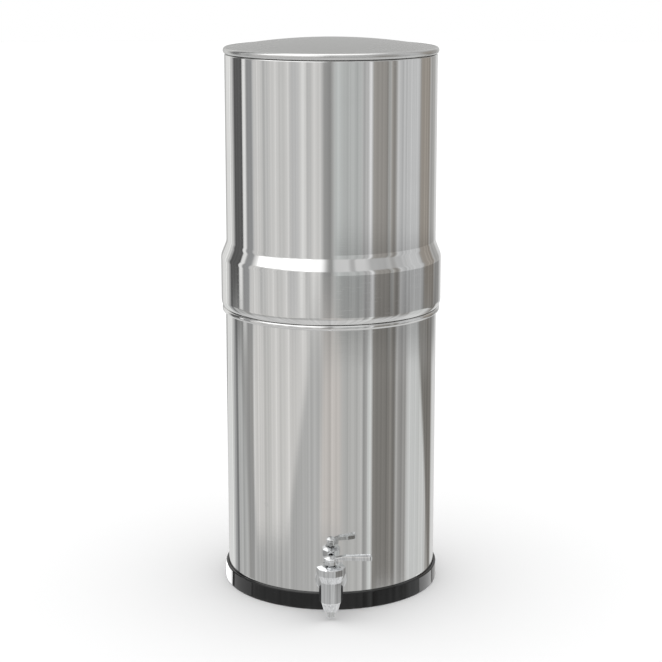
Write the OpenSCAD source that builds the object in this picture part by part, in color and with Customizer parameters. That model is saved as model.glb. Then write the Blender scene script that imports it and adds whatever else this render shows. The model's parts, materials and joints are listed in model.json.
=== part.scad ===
// Gravity water filter: an upper steel chamber that holds two ceramic candles
// stands in the rolled rim of a lower steel chamber with a quarter-turn tap.
// Millimetres. Z is up, the origin is on the chambers' axis at table height,
// and the tap faces -Y. The tap is shown closed, with its lever along +X.

/* [Lower chamber] */
// Outer radius of the lower chamber's wall
chamber_r = 110; // [100:1:125]
// Height of the top of the lower chamber's rolled rim above the table
rim_top_z = 298; // [270:1:330]
// Thickness of the steel sheet
sheet_t = 0.8; // [0.6:0.1:1]
// Outer radius of the corner between wall and floor
floor_corner_r = 6; // [4:0.5:9]
// How far the middle of the floor is raised
floor_rise = 4; // [2:0.5:6]
// Outer radius of the bend at the top of the rolled rim
rim_bend_r = 2.1; // [1.8:0.1:2.6]
// Outer radius of the bend at its foot
rim_low_bend_r = 2.6; // [2.5:0.1:2.8]
// Height of the roll
rim_roll_h = 5.4; // [5.4:0.2:9]

/* [Upper chamber] */
// How far the upper wall lies inside the line of the lower wall
wall_inset = 1.25; // [0.5:0.25:2.5]
// How far the band stands out past the lower wall
band_step = 4.45; // [4:0.1:6]
// Height of the band from its seat to the foot of the shoulder
band_h = 50.5; // [35:0.5:70]
// Height of the chamber from its seat to its top edge
upper_h = 259.7; // [220:0.5:320]
// Slope of the shoulder, measured from the vertical
shoulder_angle = 22; // [18:1:28]
// Radius of the bends at both ends of the shoulder
shoulder_bend_r = 13; // [6:1:15]
// Radius of the slow curve at the band's lower edge
tuck_r = 14; // [8:1:18]
// How far that curve turns inwards
tuck_angle = 28; // [20:1:35]
// Radius of the corner below it
tuck_corner_r = 2; // [1:0.1:2]
// Depth of the spigot that stands inside the lower chamber
spigot_h = 25; // [18:1:35]
// Outer radius of the spigot's corner
spigot_corner_r = 6; // [4:0.5:9]
// Outer radius of the hem at the top edge
hem_r = 1.3; // [1.1:0.1:1.5]
// Height of the turned-in hem
hem_h = 7; // [5:0.5:10]

/* [Lid] */
// How far the lid's edge stands out past the upper wall
lid_overhang = 1.5; // [1:0.1:2.5]
// Radius of the lid's rolled edge
lid_bead_r = 3.5; // [3:0.1:4.5]
// Height of the lid from its seat to the top of the dome
lid_h = 15.6; // [12:0.1:25]
// Radius of the shallow valley between dome and edge
lid_valley_r = 2.5; // [1.5:0.1:4]
// Slope of the rolled edge where it leaves the valley
lid_valley_angle = 25; // [20:1:40]
// Depth of the skirt that centres the lid
lid_skirt_h = 9; // [6:0.5:14]

/* [Base ring] */
// Height of the base ring
ring_h = 18; // [14:0.5:24]
// Thickness of the base ring's wall
ring_wall = 2.55; // [2.4:0.05:4]
// Thickness of the flange that the chamber stands on
ring_floor_t = 3; // [2.4:0.2:5]
// Width of that flange
ring_floor_w = 14; // [10:0.5:20]
// Radius of the ring's outer edges
ring_edge_r = 1.2; // [0.8:0.1:2.2]

/* [Candles] */
// Radius of a candle
candle_r = 25; // [20:0.5:30]
// Height of the ceramic shell
candle_h = 165; // [120:1:200]
// Wall of the ceramic shell
candle_wall = 8; // [5:0.5:10]
// Distance between the two candles
candle_pitch = 100; // [74:1:120]
// Height of a candle's plastic base
candle_base_h = 13; // [10:0.5:18]
// How far the plastic base stands out past the ceramic
candle_base_lip = 1.8; // [1.4:0.1:3]
// Radius of the threaded stem
stem_r = 6; // [5:0.25:7]
// Length of the stem below its base
stem_len = 26; // [22:0.5:34]
// Radius of the stem's bore
stem_bore_r = 2.5; // [1.5:0.25:3]
// Thickness of the sealing washer
washer_t = 3; // [2:0.25:5]
// Radius of the sealing washer
washer_r = 15; // [12:0.5:18]
// Height of a wing nut's round part
wing_nut_h = 10; // [8:0.5:14]
// Reach of a wing from the nut's axis
wing_reach = 20; // [16:0.5:24]

/* [Tap] */
// Height of the tap's shank above the table
shank_z = 35.2; // [35:0.1:45]
// Distance from the chamber's wall to the axis of the barrel
tap_reach = 30; // [27:0.5:40]
// Radius of the threaded shank
shank_r = 8; // [7:0.25:9]
// How far the shank reaches into the chamber
shank_inside = 16; // [15.5:0.5:24]
// Radius of the waterway through the shank
waterway_r = 3; // [2:0.25:4]
// Radius of the round flange
flange_r = 16.4; // [14:0.1:17]
// Thickness of the round flange
flange_t = 2.5; // [2:0.25:4]
// Radius over the corners of the ten-sided barrel
barrel_r = 12.1; // [11:0.1:13]
// Height of the barrel's lower end above the table
barrel_low_z = 20.8; // [18:0.1:23]
// Radius over the corners of the ten-sided collar
collar_r = 14.7; // [13.5:0.1:16]
// Height of the collar's outer edge above the table
collar_top_z = 56.4; // [54:0.1:60]
// Height of the collar's flats
collar_h = 6.9; // [5:0.1:8]
// Height of the taper between collar and barrel
taper_h = 7.4; // [4:0.1:9]
// Radius of the cone at its upper end
cone_r = 10.5; // [9.6:0.1:11]
// Radius of the cone at its lower end
cone_tip_r = 7.2; // [6.6:0.1:8]
// Radius of the cone's rounded lower edge
cone_edge_r = 2; // [1:0.1:2.4]
// Height of the cone's lower end above the table
cone_low_z = 10.4; // [9:0.1:12]
// Outer radius of the nozzle
nozzle_r = 3.8; // [3.4:0.1:4.4]
// Radius of the nozzle's bore
nozzle_bore_r = 2.6; // [1.8:0.1:2.8]
// Height of the nozzle's tip above the table
nozzle_low_z = 3.6; // [3:0.1:6]

/* [Tap valve] */
// Radius of the bore that the plug turns in
valve_bore_r = 5.5; // [5.2:0.1:6]
// Radius of the cross port in the plug
port_r = 2.5; // [1.5:0.1:2.6]
// Thickness of an O-ring
o_ring_t = 1.8; // [1.4:0.1:2]
// Distance from the port to each O-ring
o_ring_offset = 6.8; // [5.5:0.1:7.5]
// Radius of the plug's neck
neck_r = 4.5; // [4:0.1:4.7]
// Thickness of the circlip
circlip_t = 1; // [0.8:0.1:1.2]

/* [Tap lever] */
// Radius of the lever's hub
hub_r = 6.6; // [6:0.1:7]
// How far the hub's cap stands out past that side
hub_brim = 0.9; // [0.4:0.1:1.2]
// Height of the hub's round side
hub_h = 7; // [6:0.1:9]
// Height of the cap's rim
hub_cap_h = 2.5; // [2:0.1:3.5]
// Gap between collar and hub
hub_gap = 1.2; // [0.6:0.1:2]
// Height of the dome on the cap
hub_dome_h = 1.4; // [0.8:0.1:2.5]
// Distance from the hub's axis to the tip of the arm
arm_reach = 41.4; // [34:0.2:50]
// Width of the arm at its tip
arm_tip_w = 10.4; // [8:0.2:14]
// Width of the arm at the hub
arm_neck_w = 5.6; // [5:0.2:8]
// Thickness of the arm at its tip
arm_tip_t = 4.4; // [3.4:0.1:5]
// Thickness of the arm where its level top starts
arm_neck_t = 4; // [3:0.1:4.4]
// Width of the raised border round the arm's top
arm_border = 1.1; // [0.8:0.1:1.6]
// Depth of the panel inside the border
arm_panel_depth = 0.6; // [0.3:0.1:0.9]

/* [Hidden] */
$fn = 96;

// Clearances: loose parts that lift off, parts that are only seated, and running fits
seat_gap = 0.25;
nest_gap = 0.7;
lid_gap = 0.45;
ring_gap = 0.25;
fit_gap = 0.05;
run_gap = 0.04;
eps = 0.01;

// Lower chamber
chamber_floor_z = ring_floor_t;
chamber_inner_r = chamber_r - sheet_t;
floor_rise_r = chamber_r - 40;
floor_foot_r = chamber_r - 22;
rim_roll_gap = 0.35;
rim_roll_r = rim_bend_r - sheet_t;
rim_low_roll_r = rim_low_bend_r - sheet_t;
rim_low_turn = acos(1 - (2 * rim_roll_r - rim_roll_gap) / rim_low_roll_r);
tap_hole_r = shank_r + 0.3;

// Base ring
ring_inner_r = chamber_r + ring_gap;
ring_outer_r = ring_inner_r + ring_wall;

// Upper chamber
seat_z = rim_top_z + seat_gap;
upper_r = chamber_r - wall_inset;
band_r = chamber_r + band_step;
spigot_r = chamber_inner_r - nest_gap;
upper_floor_z = rim_top_z - spigot_h;
upper_top_z = seat_z + upper_h;
step_bend_r = 1;
tuck_axis_r = band_r - tuck_r;
tuck_axis_z = seat_z + tuck_corner_r + (tuck_r - tuck_corner_r) * sin(tuck_angle);
tuck_corner_axis_r = tuck_axis_r + (tuck_r - tuck_corner_r) * cos(tuck_angle);
shoulder_low_z = seat_z + band_h;
shoulder_bends_w = 2 * shoulder_bend_r * (1 - cos(shoulder_angle));
shoulder_run = (band_r - upper_r - shoulder_bends_w) / sin(shoulder_angle);
shoulder_h = 2 * shoulder_bend_r * sin(shoulder_angle) + shoulder_run * cos(shoulder_angle);
mouth_r = upper_r - 2 * hem_r;

// Lid
lid_seat_z = upper_top_z + seat_gap;
lid_r = upper_r + lid_overhang;
lid_top_z = lid_seat_z + lid_h;
lid_bead_axis = [lid_r - lid_bead_r, lid_seat_z + lid_bead_r];
lid_skirt_r = mouth_r - lid_gap;
lid_skirt_bend_r = 0.8;
lid_valley_axis = lid_bead_axis
    + (lid_bead_r + lid_valley_r) * [-sin(lid_valley_angle), cos(lid_valley_angle)];
lid_valley_drop = lid_valley_axis[1] - lid_top_z;
lid_dome_r = (lid_valley_axis[0] ^ 2 + lid_valley_drop ^ 2 - lid_valley_r ^ 2)
    / (2 * (lid_valley_r - lid_valley_drop));
lid_dome_half_angle = asin(lid_valley_axis[0] / (lid_dome_r + lid_valley_r));

// Candles
candle_washer_z = upper_floor_z + sheet_t;
candle_base_z = candle_washer_z + washer_t;
candle_base_r = candle_r + candle_base_lip;
candle_recess_h = 9;
candle_shell_z = candle_base_z + candle_base_h - candle_recess_h;
candle_bore_r = candle_r - candle_wall;
core_r = candle_bore_r - 0.3;
core_h = candle_h - candle_r - candle_wall;
stem_hole_r = stem_r + 0.3;

// Tap, along the shank: distances are measured outwards from the chambers' axis
outer_seal_t = 2.6;
inner_seal_t = 2.4;
inner_washer_t = 1.2;
seal_r = 14;
lock_nut_t = 7;
lock_nut_flats = 24;
flange_face = chamber_r + outer_seal_t;
shoulder_face = flange_face + flange_t;
shoulder_r = 11;
shoulder_t = 2;
inner_washer_face = chamber_inner_r - inner_seal_t;
lock_nut_face = inner_washer_face - inner_washer_t;

// Tap, along the barrel
barrel_out = chamber_r + tap_reach;
collar_low_z = collar_top_z - collar_h;
taper_low_z = collar_low_z - taper_h;
collar_cap_r = 9.5;
collar_cap_h = 1.6;
cap_top_z = collar_top_z + collar_cap_h;
barrel_chamfer_h = 1.6;
cone_top_z = barrel_low_z - barrel_chamfer_h;
valve_floor_z = shank_z - o_ring_offset - 4.9;
nozzle_socket_top_z = valve_floor_z - 5.5;
plug_r = valve_bore_r - run_gap;
plug_low_z = valve_floor_z + 0.2;
plug_shoulder_z = cap_top_z - 3.6;
o_ring_axis_r = valve_bore_r - run_gap - o_ring_t / 2;
o_ring_groove_r = o_ring_axis_r - o_ring_t / 2 - run_gap;
circlip_z = plug_shoulder_z + 0.1;
circlip_inner_r = neck_r + 0.2;
circlip_outer_r = valve_bore_r + 0.8;
circlip_mouth = 50;

// Tap lever
hub_low_z = cap_top_z + hub_gap;
hub_top_z = hub_low_z + hub_h;
hub_edge_r = 0.9;
hub_cap_r = hub_r + hub_brim;
hub_bore_top_z = hub_top_z - 1.5;
arm_top_z = hub_top_z + 2.4;
arm_root_top_z = hub_top_z - 0.6;
arm_root_low_z = hub_top_z - 2;
arm_rise_x = 14;
arm_corner_r = 3.4;
web_reach = 11.8;
web_t = 3.8;
web_corner_r = 2;
grub_r = 1.5;
grub_z = hub_low_z + 2.2;

steel = [0.78, 0.78, 0.77];
satin_steel = [0.66, 0.66, 0.65];
chrome = [0.85, 0.86, 0.88];
black = [0.05, 0.05, 0.05];
rubber = [0.13, 0.13, 0.13];
ceramic = [0.95, 0.93, 0.88];
white_plastic = [0.9, 0.9, 0.88];
carbon = [0.1, 0.1, 0.11];

// Points on a circle about c, from angle a0 to angle a1
function arc(c, r, a0, a1, n = 8) =
    [for (i = [0 : n]) let (a = a0 + (a1 - a0) * i / n) c + r * [cos(a), sin(a)]];

function unit(v) = v / norm(v);

function left_of(p, i) = let (d = unit(p[i + 1] - p[i])) [-d[1], d[0]];

// Sum of the normals of the two stretches that meet at point i
function both_normals(p, i) = left_of(p, max(i - 1, 0)) + left_of(p, min(i, len(p) - 2));

// Point i moved t to the left of the path, straight up or down if it lies on the axis
function moved_left(p, i, t) =
    let (s = both_normals(p, i), q = p[i] + t * 2 * s / (s * s)) [p[i][0] < eps ? 0 : q[0], q[1]];

// Closed outline of a sheet: one face follows the path, the other lies t to its left
function sheet_outline(p, t) = concat(p, [for (i = [len(p) - 1 : -1 : 0]) moved_left(p, i, t)]);

module spun_sheet(path, t) {
    rotate_extrude() polygon(sheet_outline(path, t));
}

// Local z runs outwards along the tap's shank
module on_shank() {
    translate([0, 0, shank_z]) rotate([90, 0, 0]) children();
}

module on_barrel() {
    translate([0, -barrel_out, 0]) children();
}

module ring_solid(inner, outer, z0, h) {
    translate([0, 0, z0]) difference() {
        cylinder(r = outer, h = h);
        translate([0, 0, -1]) cylinder(r = inner, h = h + 2);
    }
}

module prism_ten(r, z0, h) {
    translate([0, 0, z0]) cylinder(r = r, h = h, $fn = 10);
}

module taper_ten(r_low, r_high, z0, h) {
    translate([0, 0, z0]) cylinder(r1 = r_low, r2 = r_high, h = h, $fn = 10);
}

// Moulded ring: an outer wall with rounded edges and a flange below the chamber
module base_ring() {
    foot_r = chamber_r - ring_floor_w;
    color(black) rotate_extrude() polygon(concat(
        [[foot_r, 0]],
        arc([ring_outer_r - ring_edge_r, ring_edge_r], ring_edge_r, -90, 0, 5),
        arc([ring_outer_r - ring_edge_r, ring_h - ring_edge_r], ring_edge_r, 0, 90, 6),
        [[ring_inner_r, ring_h], [ring_inner_r, ring_floor_t], [foot_r, ring_floor_t]]
    ));
}

// Drawn shell: raised floor, rounded corner, wall, and a rim rolled out and back to the wall
module lower_chamber() {
    low_axis = [chamber_r + 2 * rim_roll_r - rim_low_roll_r,
        rim_top_z - rim_roll_h + rim_low_bend_r * sin(min(rim_low_turn, 90))];
    path = concat(
        [[0, chamber_floor_z + floor_rise], [floor_rise_r, chamber_floor_z + floor_rise],
         [floor_foot_r, chamber_floor_z]],
        arc([chamber_r - floor_corner_r, chamber_floor_z + floor_corner_r], floor_corner_r, -90, 0),
        arc([chamber_r + rim_roll_r, rim_top_z - rim_bend_r], rim_roll_r, 180, 0),
        arc(low_axis, rim_low_roll_r, 0, -rim_low_turn, 6)
    );
    color(steel) difference() {
        spun_sheet(path, sheet_t);
        on_shank() translate([0, 0, chamber_r - 12]) cylinder(r = tap_hole_r, h = 20);
    }
}

// Spun shell: floor and spigot, seat, tucked band, shoulder, wall and a hem turned inwards
module upper_chamber() {
    path = concat(
        [[0, upper_floor_z]],
        arc([spigot_r - spigot_corner_r, upper_floor_z + spigot_corner_r], spigot_corner_r, -90, 0),
        arc([spigot_r + step_bend_r, seat_z - step_bend_r], step_bend_r, 180, 90, 4),
        arc([tuck_corner_axis_r, seat_z + tuck_corner_r], tuck_corner_r, -90, -tuck_angle, 5),
        arc([tuck_axis_r, tuck_axis_z], tuck_r, -tuck_angle * 4 / 5, 0, 4),
        arc([band_r - shoulder_bend_r, shoulder_low_z], shoulder_bend_r, 0, shoulder_angle, 6),
        arc([upper_r + shoulder_bend_r, shoulder_low_z + shoulder_h], shoulder_bend_r,
            180 + shoulder_angle, 180, 6),
        arc([upper_r - hem_r, upper_top_z - hem_r], hem_r, 0, 180),
        [[mouth_r, upper_top_z - hem_h]]
    );
    color(steel) difference() {
        spun_sheet(path, sheet_t);
        for (side = [-1, 1])
            translate([side * candle_pitch / 2, 0, upper_floor_z - 1]) cylinder(r = stem_hole_r, h = 4);
    }
}

// Pressed lid: dome, shallow valley, rolled edge folded back under, and a skirt
module lid() {
    path = concat(
        arc([0, lid_top_z - lid_dome_r], lid_dome_r, 90, 90 - lid_dome_half_angle, 12),
        arc(lid_valley_axis, lid_valley_r, 276 - lid_dome_half_angle, 270 + lid_valley_angle, 5),
        arc(lid_bead_axis, lid_bead_r, 75 + lid_valley_angle, -90, 12),
        arc([lid_skirt_r + lid_skirt_bend_r, lid_seat_z - lid_skirt_bend_r], lid_skirt_bend_r, 90, 180, 4),
        [[lid_skirt_r, lid_seat_z - lid_skirt_h]]
    );
    color(satin_steel) spun_sheet(path, -sheet_t);
}

module at_candle(side) {
    translate([side * candle_pitch / 2, 0, 0]) children();
}

// Outline of a round-nosed rod from its axis outwards
function nose_outline(r, h) = concat([[0, 0], [r, 0]], arc([0, h - r], r, 0, 90, 12));

module candle_shell(side) {
    color(ceramic) at_candle(side) translate([0, 0, candle_shell_z]) difference() {
        rotate_extrude() polygon(nose_outline(candle_r, candle_h));
        translate([0, 0, -eps]) rotate_extrude()
            polygon(nose_outline(candle_bore_r, candle_h - candle_wall));
    }
}

module carbon_core(side) {
    color(carbon) at_candle(side) translate([0, 0, candle_shell_z]) cylinder(r = core_r, h = core_h);
}

// Plastic cup that the ceramic is glued in, with its hollow threaded stem
module candle_base(side) {
    shell_gap_r = candle_r + 0.15;
    stem_low_z = candle_base_z - stem_len;
    color(white_plastic) at_candle(side) difference() {
        union() {
            translate([0, 0, candle_base_z]) rotate_extrude() polygon([
                [0, 0], [candle_base_r - 3, 0], [candle_base_r, 3], [candle_base_r, candle_base_h],
                [0, candle_base_h]
            ]);
            translate([0, 0, stem_low_z]) cylinder(r = stem_r, h = stem_len + eps);
        }
        translate([0, 0, candle_shell_z]) cylinder(r = shell_gap_r, h = candle_recess_h + 1);
        translate([0, 0, stem_low_z - 1]) cylinder(r = stem_bore_r, h = stem_len + candle_base_h);
    }
}

module candle_washer(side) {
    color(rubber) at_candle(side) ring_solid(stem_r + fit_gap, washer_r, candle_washer_z, washer_t);
}

// Round nut with a flange and two upright wings, screwed up under the floor
module wing_nut(side) {
    nut_r = 9.5;
    nut_flange_r = 13;
    nut_flange_t = 2.2;
    wing_t = 3.6;
    wing_edge_r = 3;
    wing_outline = concat(
        [[0, 0], [nut_flange_r - 1, 0]],
        arc([wing_reach - wing_edge_r, -nut_flange_t - wing_edge_r], wing_edge_r, 90, 0, 5),
        arc([wing_reach - wing_edge_r, -wing_nut_h - 2], wing_edge_r, 0, -90, 5),
        [[nut_r - 2, -wing_nut_h]]
    );
    color(white_plastic) at_candle(side) translate([0, 0, upper_floor_z]) difference() {
        union() {
            translate([0, 0, -nut_flange_t]) cylinder(r = nut_flange_r, h = nut_flange_t);
            translate([0, 0, -wing_nut_h]) cylinder(r = nut_r, h = wing_nut_h);
            for (turn = [0, 180])
                rotate([90, 0, turn]) translate([0, 0, -wing_t / 2])
                    linear_extrude(height = wing_t) polygon(wing_outline);
        }
        translate([0, 0, -wing_nut_h - 6]) cylinder(r = stem_r + fit_gap, h = wing_nut_h + 12);
    }
}

// Outline of the round cone below the barrel, with its lower edge rounded
function cone_outline() =
    let (top_r = cone_r * cos(18),
         lean = atan((top_r - cone_tip_r) / (cone_top_z - cone_low_z)),
         axis_r = cone_tip_r - cone_edge_r * (1 - sin(lean)) / cos(lean))
    concat(
        [[0, cone_low_z]],
        arc([axis_r, cone_low_z + cone_edge_r], cone_edge_r, -90, -lean, 5),
        [[top_r, cone_top_z + eps], [0, cone_top_z + eps]]
    );

// Ten-sided collar and barrel, cone, round shoulder and shank in one casting
module tap_body() {
    color(chrome) difference() {
        union() {
            on_barrel() {
                taper_ten(collar_r, collar_cap_r, collar_top_z, collar_cap_h);
                prism_ten(collar_r, collar_low_z, collar_h);
                taper_ten(barrel_r, collar_r, taper_low_z, taper_h);
                prism_ten(barrel_r, barrel_low_z, taper_low_z - barrel_low_z);
                taper_ten(cone_r, barrel_r, cone_top_z, barrel_chamfer_h);
                rotate_extrude() polygon(cone_outline());
            }
            on_shank() {
                translate([0, 0, chamber_r - shank_inside])
                    cylinder(r = shank_r, h = tap_reach + shank_inside);
                translate([0, 0, shoulder_face]) cylinder(r = shoulder_r, h = shoulder_t);
            }
        }
        on_barrel() {
            translate([0, 0, valve_floor_z]) cylinder(r = valve_bore_r, h = cap_top_z);
            translate([0, 0, circlip_z - fit_gap])
                cylinder(r = circlip_outer_r + 0.1, h = circlip_t + 2 * fit_gap);
            translate([0, 0, nozzle_socket_top_z - 1]) cylinder(r = nozzle_bore_r, h = 10);
            translate([0, 0, cone_low_z - 1])
                cylinder(r = nozzle_r + fit_gap, h = nozzle_socket_top_z - cone_low_z + 1);
        }
        on_shank() translate([0, 0, chamber_r - shank_inside - 1])
            cylinder(r = waterway_r, h = tap_reach + shank_inside);
    }
}

module tap_nozzle() {
    color(chrome) on_barrel()
        ring_solid(nozzle_bore_r, nozzle_r, nozzle_low_z, nozzle_socket_top_z - nozzle_low_z);
}

module tap_flange() {
    edge_r = 1;
    color(chrome) on_shank() translate([0, 0, flange_face]) rotate_extrude() polygon(concat(
        [[shank_r + fit_gap, 0], [flange_r, 0]],
        arc([flange_r - edge_r, flange_t - edge_r], edge_r, 0, 90, 5),
        [[shank_r + fit_gap, flange_t]]
    ));
}

// Rubber washer whose inner face follows the outside of the wall
module outer_seal() {
    color(rubber) difference() {
        on_shank() ring_solid(shank_r + fit_gap, seal_r, chamber_r - 3, outer_seal_t + 3);
        translate([0, 0, shank_z - 2 * seal_r])
            cylinder(r = chamber_r + fit_gap, h = 4 * seal_r, $fn = 480);
    }
}

// Rubber washer whose outer face follows the inside of the wall
module inner_seal() {
    color(rubber) intersection() {
        on_shank() ring_solid(shank_r + fit_gap, seal_r, inner_washer_face, inner_seal_t + 3);
        translate([0, 0, shank_z - 2 * seal_r])
            cylinder(r = chamber_inner_r - fit_gap, h = 4 * seal_r, $fn = 480);
    }
}

module inner_washer() {
    color(steel) on_shank() ring_solid(shank_r + fit_gap, seal_r, lock_nut_face, inner_washer_t);
}

module lock_nut() {
    color(steel) on_shank() translate([0, 0, lock_nut_face - lock_nut_t]) difference() {
        cylinder(r = lock_nut_flats / 2 / cos(30), h = lock_nut_t, $fn = 6);
        translate([0, 0, -1]) cylinder(r = shank_r + fit_gap, h = lock_nut_t + 2);
    }
}

// Open spring ring in the groove above the plug's shoulder
module plug_circlip() {
    color(steel) on_barrel() difference() {
        ring_solid(circlip_inner_r, circlip_outer_r, circlip_z, circlip_t);
        translate([0, 0, circlip_z - 1]) linear_extrude(height = circlip_t + 2)
            polygon([[0, 0], 20 * [cos(circlip_mouth / 2), -sin(circlip_mouth / 2)],
                     20 * [cos(circlip_mouth / 2), sin(circlip_mouth / 2)]]);
    }
}

// Plug: the port faces -X when the tap is closed, and the shank after a quarter turn
module tap_plug() {
    color(chrome) on_barrel() difference() {
        union() {
            translate([0, 0, plug_low_z]) cylinder(r = plug_r, h = plug_shoulder_z - plug_low_z);
            translate([0, 0, plug_shoulder_z - eps])
                cylinder(r = neck_r, h = hub_bore_top_z - plug_shoulder_z + eps);
        }
        translate([0, 0, plug_low_z - 1]) cylinder(r = port_r, h = shank_z - plug_low_z + 1);
        translate([0, 0, shank_z]) rotate([0, -90, 0]) cylinder(r = port_r, h = 2 * plug_r);
        for (side = [-1, 1])
            ring_solid(o_ring_groove_r, plug_r + 1,
                shank_z + side * o_ring_offset - o_ring_t / 2 - fit_gap, o_ring_t + 2 * fit_gap);
    }
}

module plug_o_rings() {
    color(rubber) on_barrel() for (side = [-1, 1])
        translate([0, 0, shank_z + side * o_ring_offset]) rotate_extrude()
            translate([o_ring_axis_r, 0]) circle(r = o_ring_t / 2, $fn = 32);
}

// Plan outline of the arm, drawn inwards by inset
function arm_plan(inset, x0) =
    let (neck = arm_neck_w / 2 - inset,
         half = arm_tip_w / 2 - inset,
         corner = arm_corner_r - inset,
         tip = arm_reach - inset)
    concat(
        [[x0, -neck]],
        arc([tip - corner, corner - half], corner, -80, 0, 6),
        arc([tip - corner, half - corner], corner, 0, 80, 6),
        [[x0, neck]]
    );

// Side outline of the arm, rising from the hub to its level top
arm_side = [
    [0, arm_root_low_z], [arm_rise_x, arm_top_z - arm_neck_t],
    [arm_reach + 1, arm_top_z - arm_tip_t], [arm_reach + 1, arm_top_z],
    [arm_rise_x, arm_top_z], [0, arm_root_top_z]
];

// Hub with a domed cap, and an arm with a raised border, a hollow panel and a web below
module tap_lever() {
    cap_edge_axis = hub_cap_r - hub_edge_r;
    cap_low_z = hub_top_z - hub_cap_h;
    dome_r = (cap_edge_axis ^ 2 + hub_dome_h ^ 2) / (2 * hub_dome_h);
    dome_angle = asin(cap_edge_axis / dome_r);
    web_low_z = hub_low_z + 0.6;
    color(chrome) on_barrel() difference() {
        union() {
            rotate_extrude() polygon([
                [0, hub_low_z], [hub_r - 0.5, hub_low_z], [hub_r, hub_low_z + 0.5],
                [hub_r, cap_low_z + hub_edge_r], [0, cap_low_z + hub_edge_r]
            ]);
            rotate_extrude() polygon(concat(
                [[0, cap_low_z]],
                arc([cap_edge_axis, cap_low_z + hub_edge_r], hub_edge_r, -90, 0, 5),
                arc([cap_edge_axis, hub_top_z - hub_edge_r], hub_edge_r, 0, 90 - dome_angle, 5),
                arc([0, hub_top_z + hub_dome_h - dome_r], dome_r, 90 - dome_angle, 90, 8)
            ));
            intersection() {
                translate([0, 0, hub_low_z]) linear_extrude(height = hub_h + 10)
                    polygon(arm_plan(0, 2));
                rotate([90, 0, 0]) translate([0, 0, -arm_tip_w]) linear_extrude(height = 2 * arm_tip_w)
                    polygon(arm_side);
            }
            rotate([90, 0, 0]) translate([0, 0, -web_t / 2]) linear_extrude(height = web_t)
                polygon(concat(
                    [[hub_r - 2, arm_top_z - arm_neck_t], [hub_r - 2, web_low_z]],
                    arc([web_reach - web_corner_r, web_low_z + web_corner_r], web_corner_r, -90, 0, 5),
                    [[web_reach, arm_top_z - arm_neck_t + 0.3]]
                ));
        }
        translate([0, 0, arm_top_z - arm_panel_depth]) linear_extrude(height = 3)
            polygon(arm_plan(arm_border, arm_rise_x + 1));
        translate([0, 0, hub_low_z - 1])
            cylinder(r = neck_r + fit_gap, h = hub_bore_top_z - hub_low_z + 1 + fit_gap);
        translate([0, 0, grub_z]) rotate([-90, 0, 0]) cylinder(r = grub_r + fit_gap, h = hub_r + 1);
    }
}

module lever_grub_screw() {
    screw_face = neck_r + fit_gap;
    color(steel) on_barrel() translate([0, screw_face, grub_z]) rotate([-90, 0, 0]) difference() {
        cylinder(r = grub_r, h = hub_r - screw_face - 0.3);
        translate([0, 0, 0.8]) cylinder(r = 0.8, h = hub_r, $fn = 6);
    }
}

base_ring();
lower_chamber();
tap_body();
tap_nozzle();
tap_flange();
outer_seal();
inner_seal();
inner_washer();
lock_nut();
plug_circlip();
tap_lever();
lever_grub_screw();
tap_plug();
plug_o_rings();
upper_chamber();
candle_shell(-1);  // candle_shell_left
candle_shell(1);  // candle_shell_right
carbon_core(-1);  // carbon_core_left
carbon_core(1);  // carbon_core_right
candle_base(-1);  // candle_base_left
candle_base(1);  // candle_base_right
candle_washer(-1);  // candle_washer_left
candle_washer(1);  // candle_washer_right
wing_nut(-1);  // wing_nut_left
wing_nut(1);  // wing_nut_right
lid();
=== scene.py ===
"""Looks of the gravity water filter, laid out as an add-on and run as a script.

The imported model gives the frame. The steel shells, the lid, the base ring, the tap
and the candles are turned and pressed again here with finer bends, the small parts
keep their own shape, and every surface gets a finish made of shader nodes.
"""

import json
import math

import bmesh
import bpy
from bpy.props import FloatProperty, FloatVectorProperty, PointerProperty
from mathutils import Matrix, Vector


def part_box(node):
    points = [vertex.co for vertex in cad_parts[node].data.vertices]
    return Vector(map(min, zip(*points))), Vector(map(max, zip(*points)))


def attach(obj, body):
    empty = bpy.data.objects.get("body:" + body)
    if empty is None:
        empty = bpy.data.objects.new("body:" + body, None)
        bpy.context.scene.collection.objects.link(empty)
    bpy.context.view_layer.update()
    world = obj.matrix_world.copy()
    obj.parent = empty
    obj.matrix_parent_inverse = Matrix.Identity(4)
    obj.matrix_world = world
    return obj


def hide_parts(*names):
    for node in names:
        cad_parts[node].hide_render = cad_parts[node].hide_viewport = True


bl_info = {
    "name": "Gravity water filter",
    "version": (1, 0, 0),
    "blender": (4, 5, 0),
    "location": "3D View > Sidebar > Water filter",
    "description": "Builds the steel, tap, candles and studio of a gravity water filter",
    "category": "Object",
}

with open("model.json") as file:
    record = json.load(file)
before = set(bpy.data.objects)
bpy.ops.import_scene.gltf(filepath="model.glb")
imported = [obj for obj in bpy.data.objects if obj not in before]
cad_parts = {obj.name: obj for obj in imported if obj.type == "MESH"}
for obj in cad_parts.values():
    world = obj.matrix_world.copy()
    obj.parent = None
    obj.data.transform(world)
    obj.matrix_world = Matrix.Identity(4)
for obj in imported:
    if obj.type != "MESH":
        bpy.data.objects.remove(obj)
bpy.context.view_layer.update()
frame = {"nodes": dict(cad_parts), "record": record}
MM = 0.001

# Corners of the frame's own parts, which the sizes below start from
RING_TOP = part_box("base_ring")[1]
LOWER_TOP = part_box("lower_chamber")[1]
UPPER_LOW, UPPER_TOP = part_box("upper_chamber")
LID_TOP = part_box("lid")[1]
SHELL_LOW, SHELL_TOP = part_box("candle_shell_right")
NOZZLE_LOW, NOZZLE_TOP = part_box("tap_nozzle")
FLANGE_LOW, FLANGE_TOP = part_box("tap_flange")

TURN_STEPS = 256
SMALL_TURN_STEPS = 96
# Distance of a guard point from a bend, and the air left under parts that stand on each other
GUARD = 0.25 * MM
SAME_POINT = 1e-7
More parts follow.
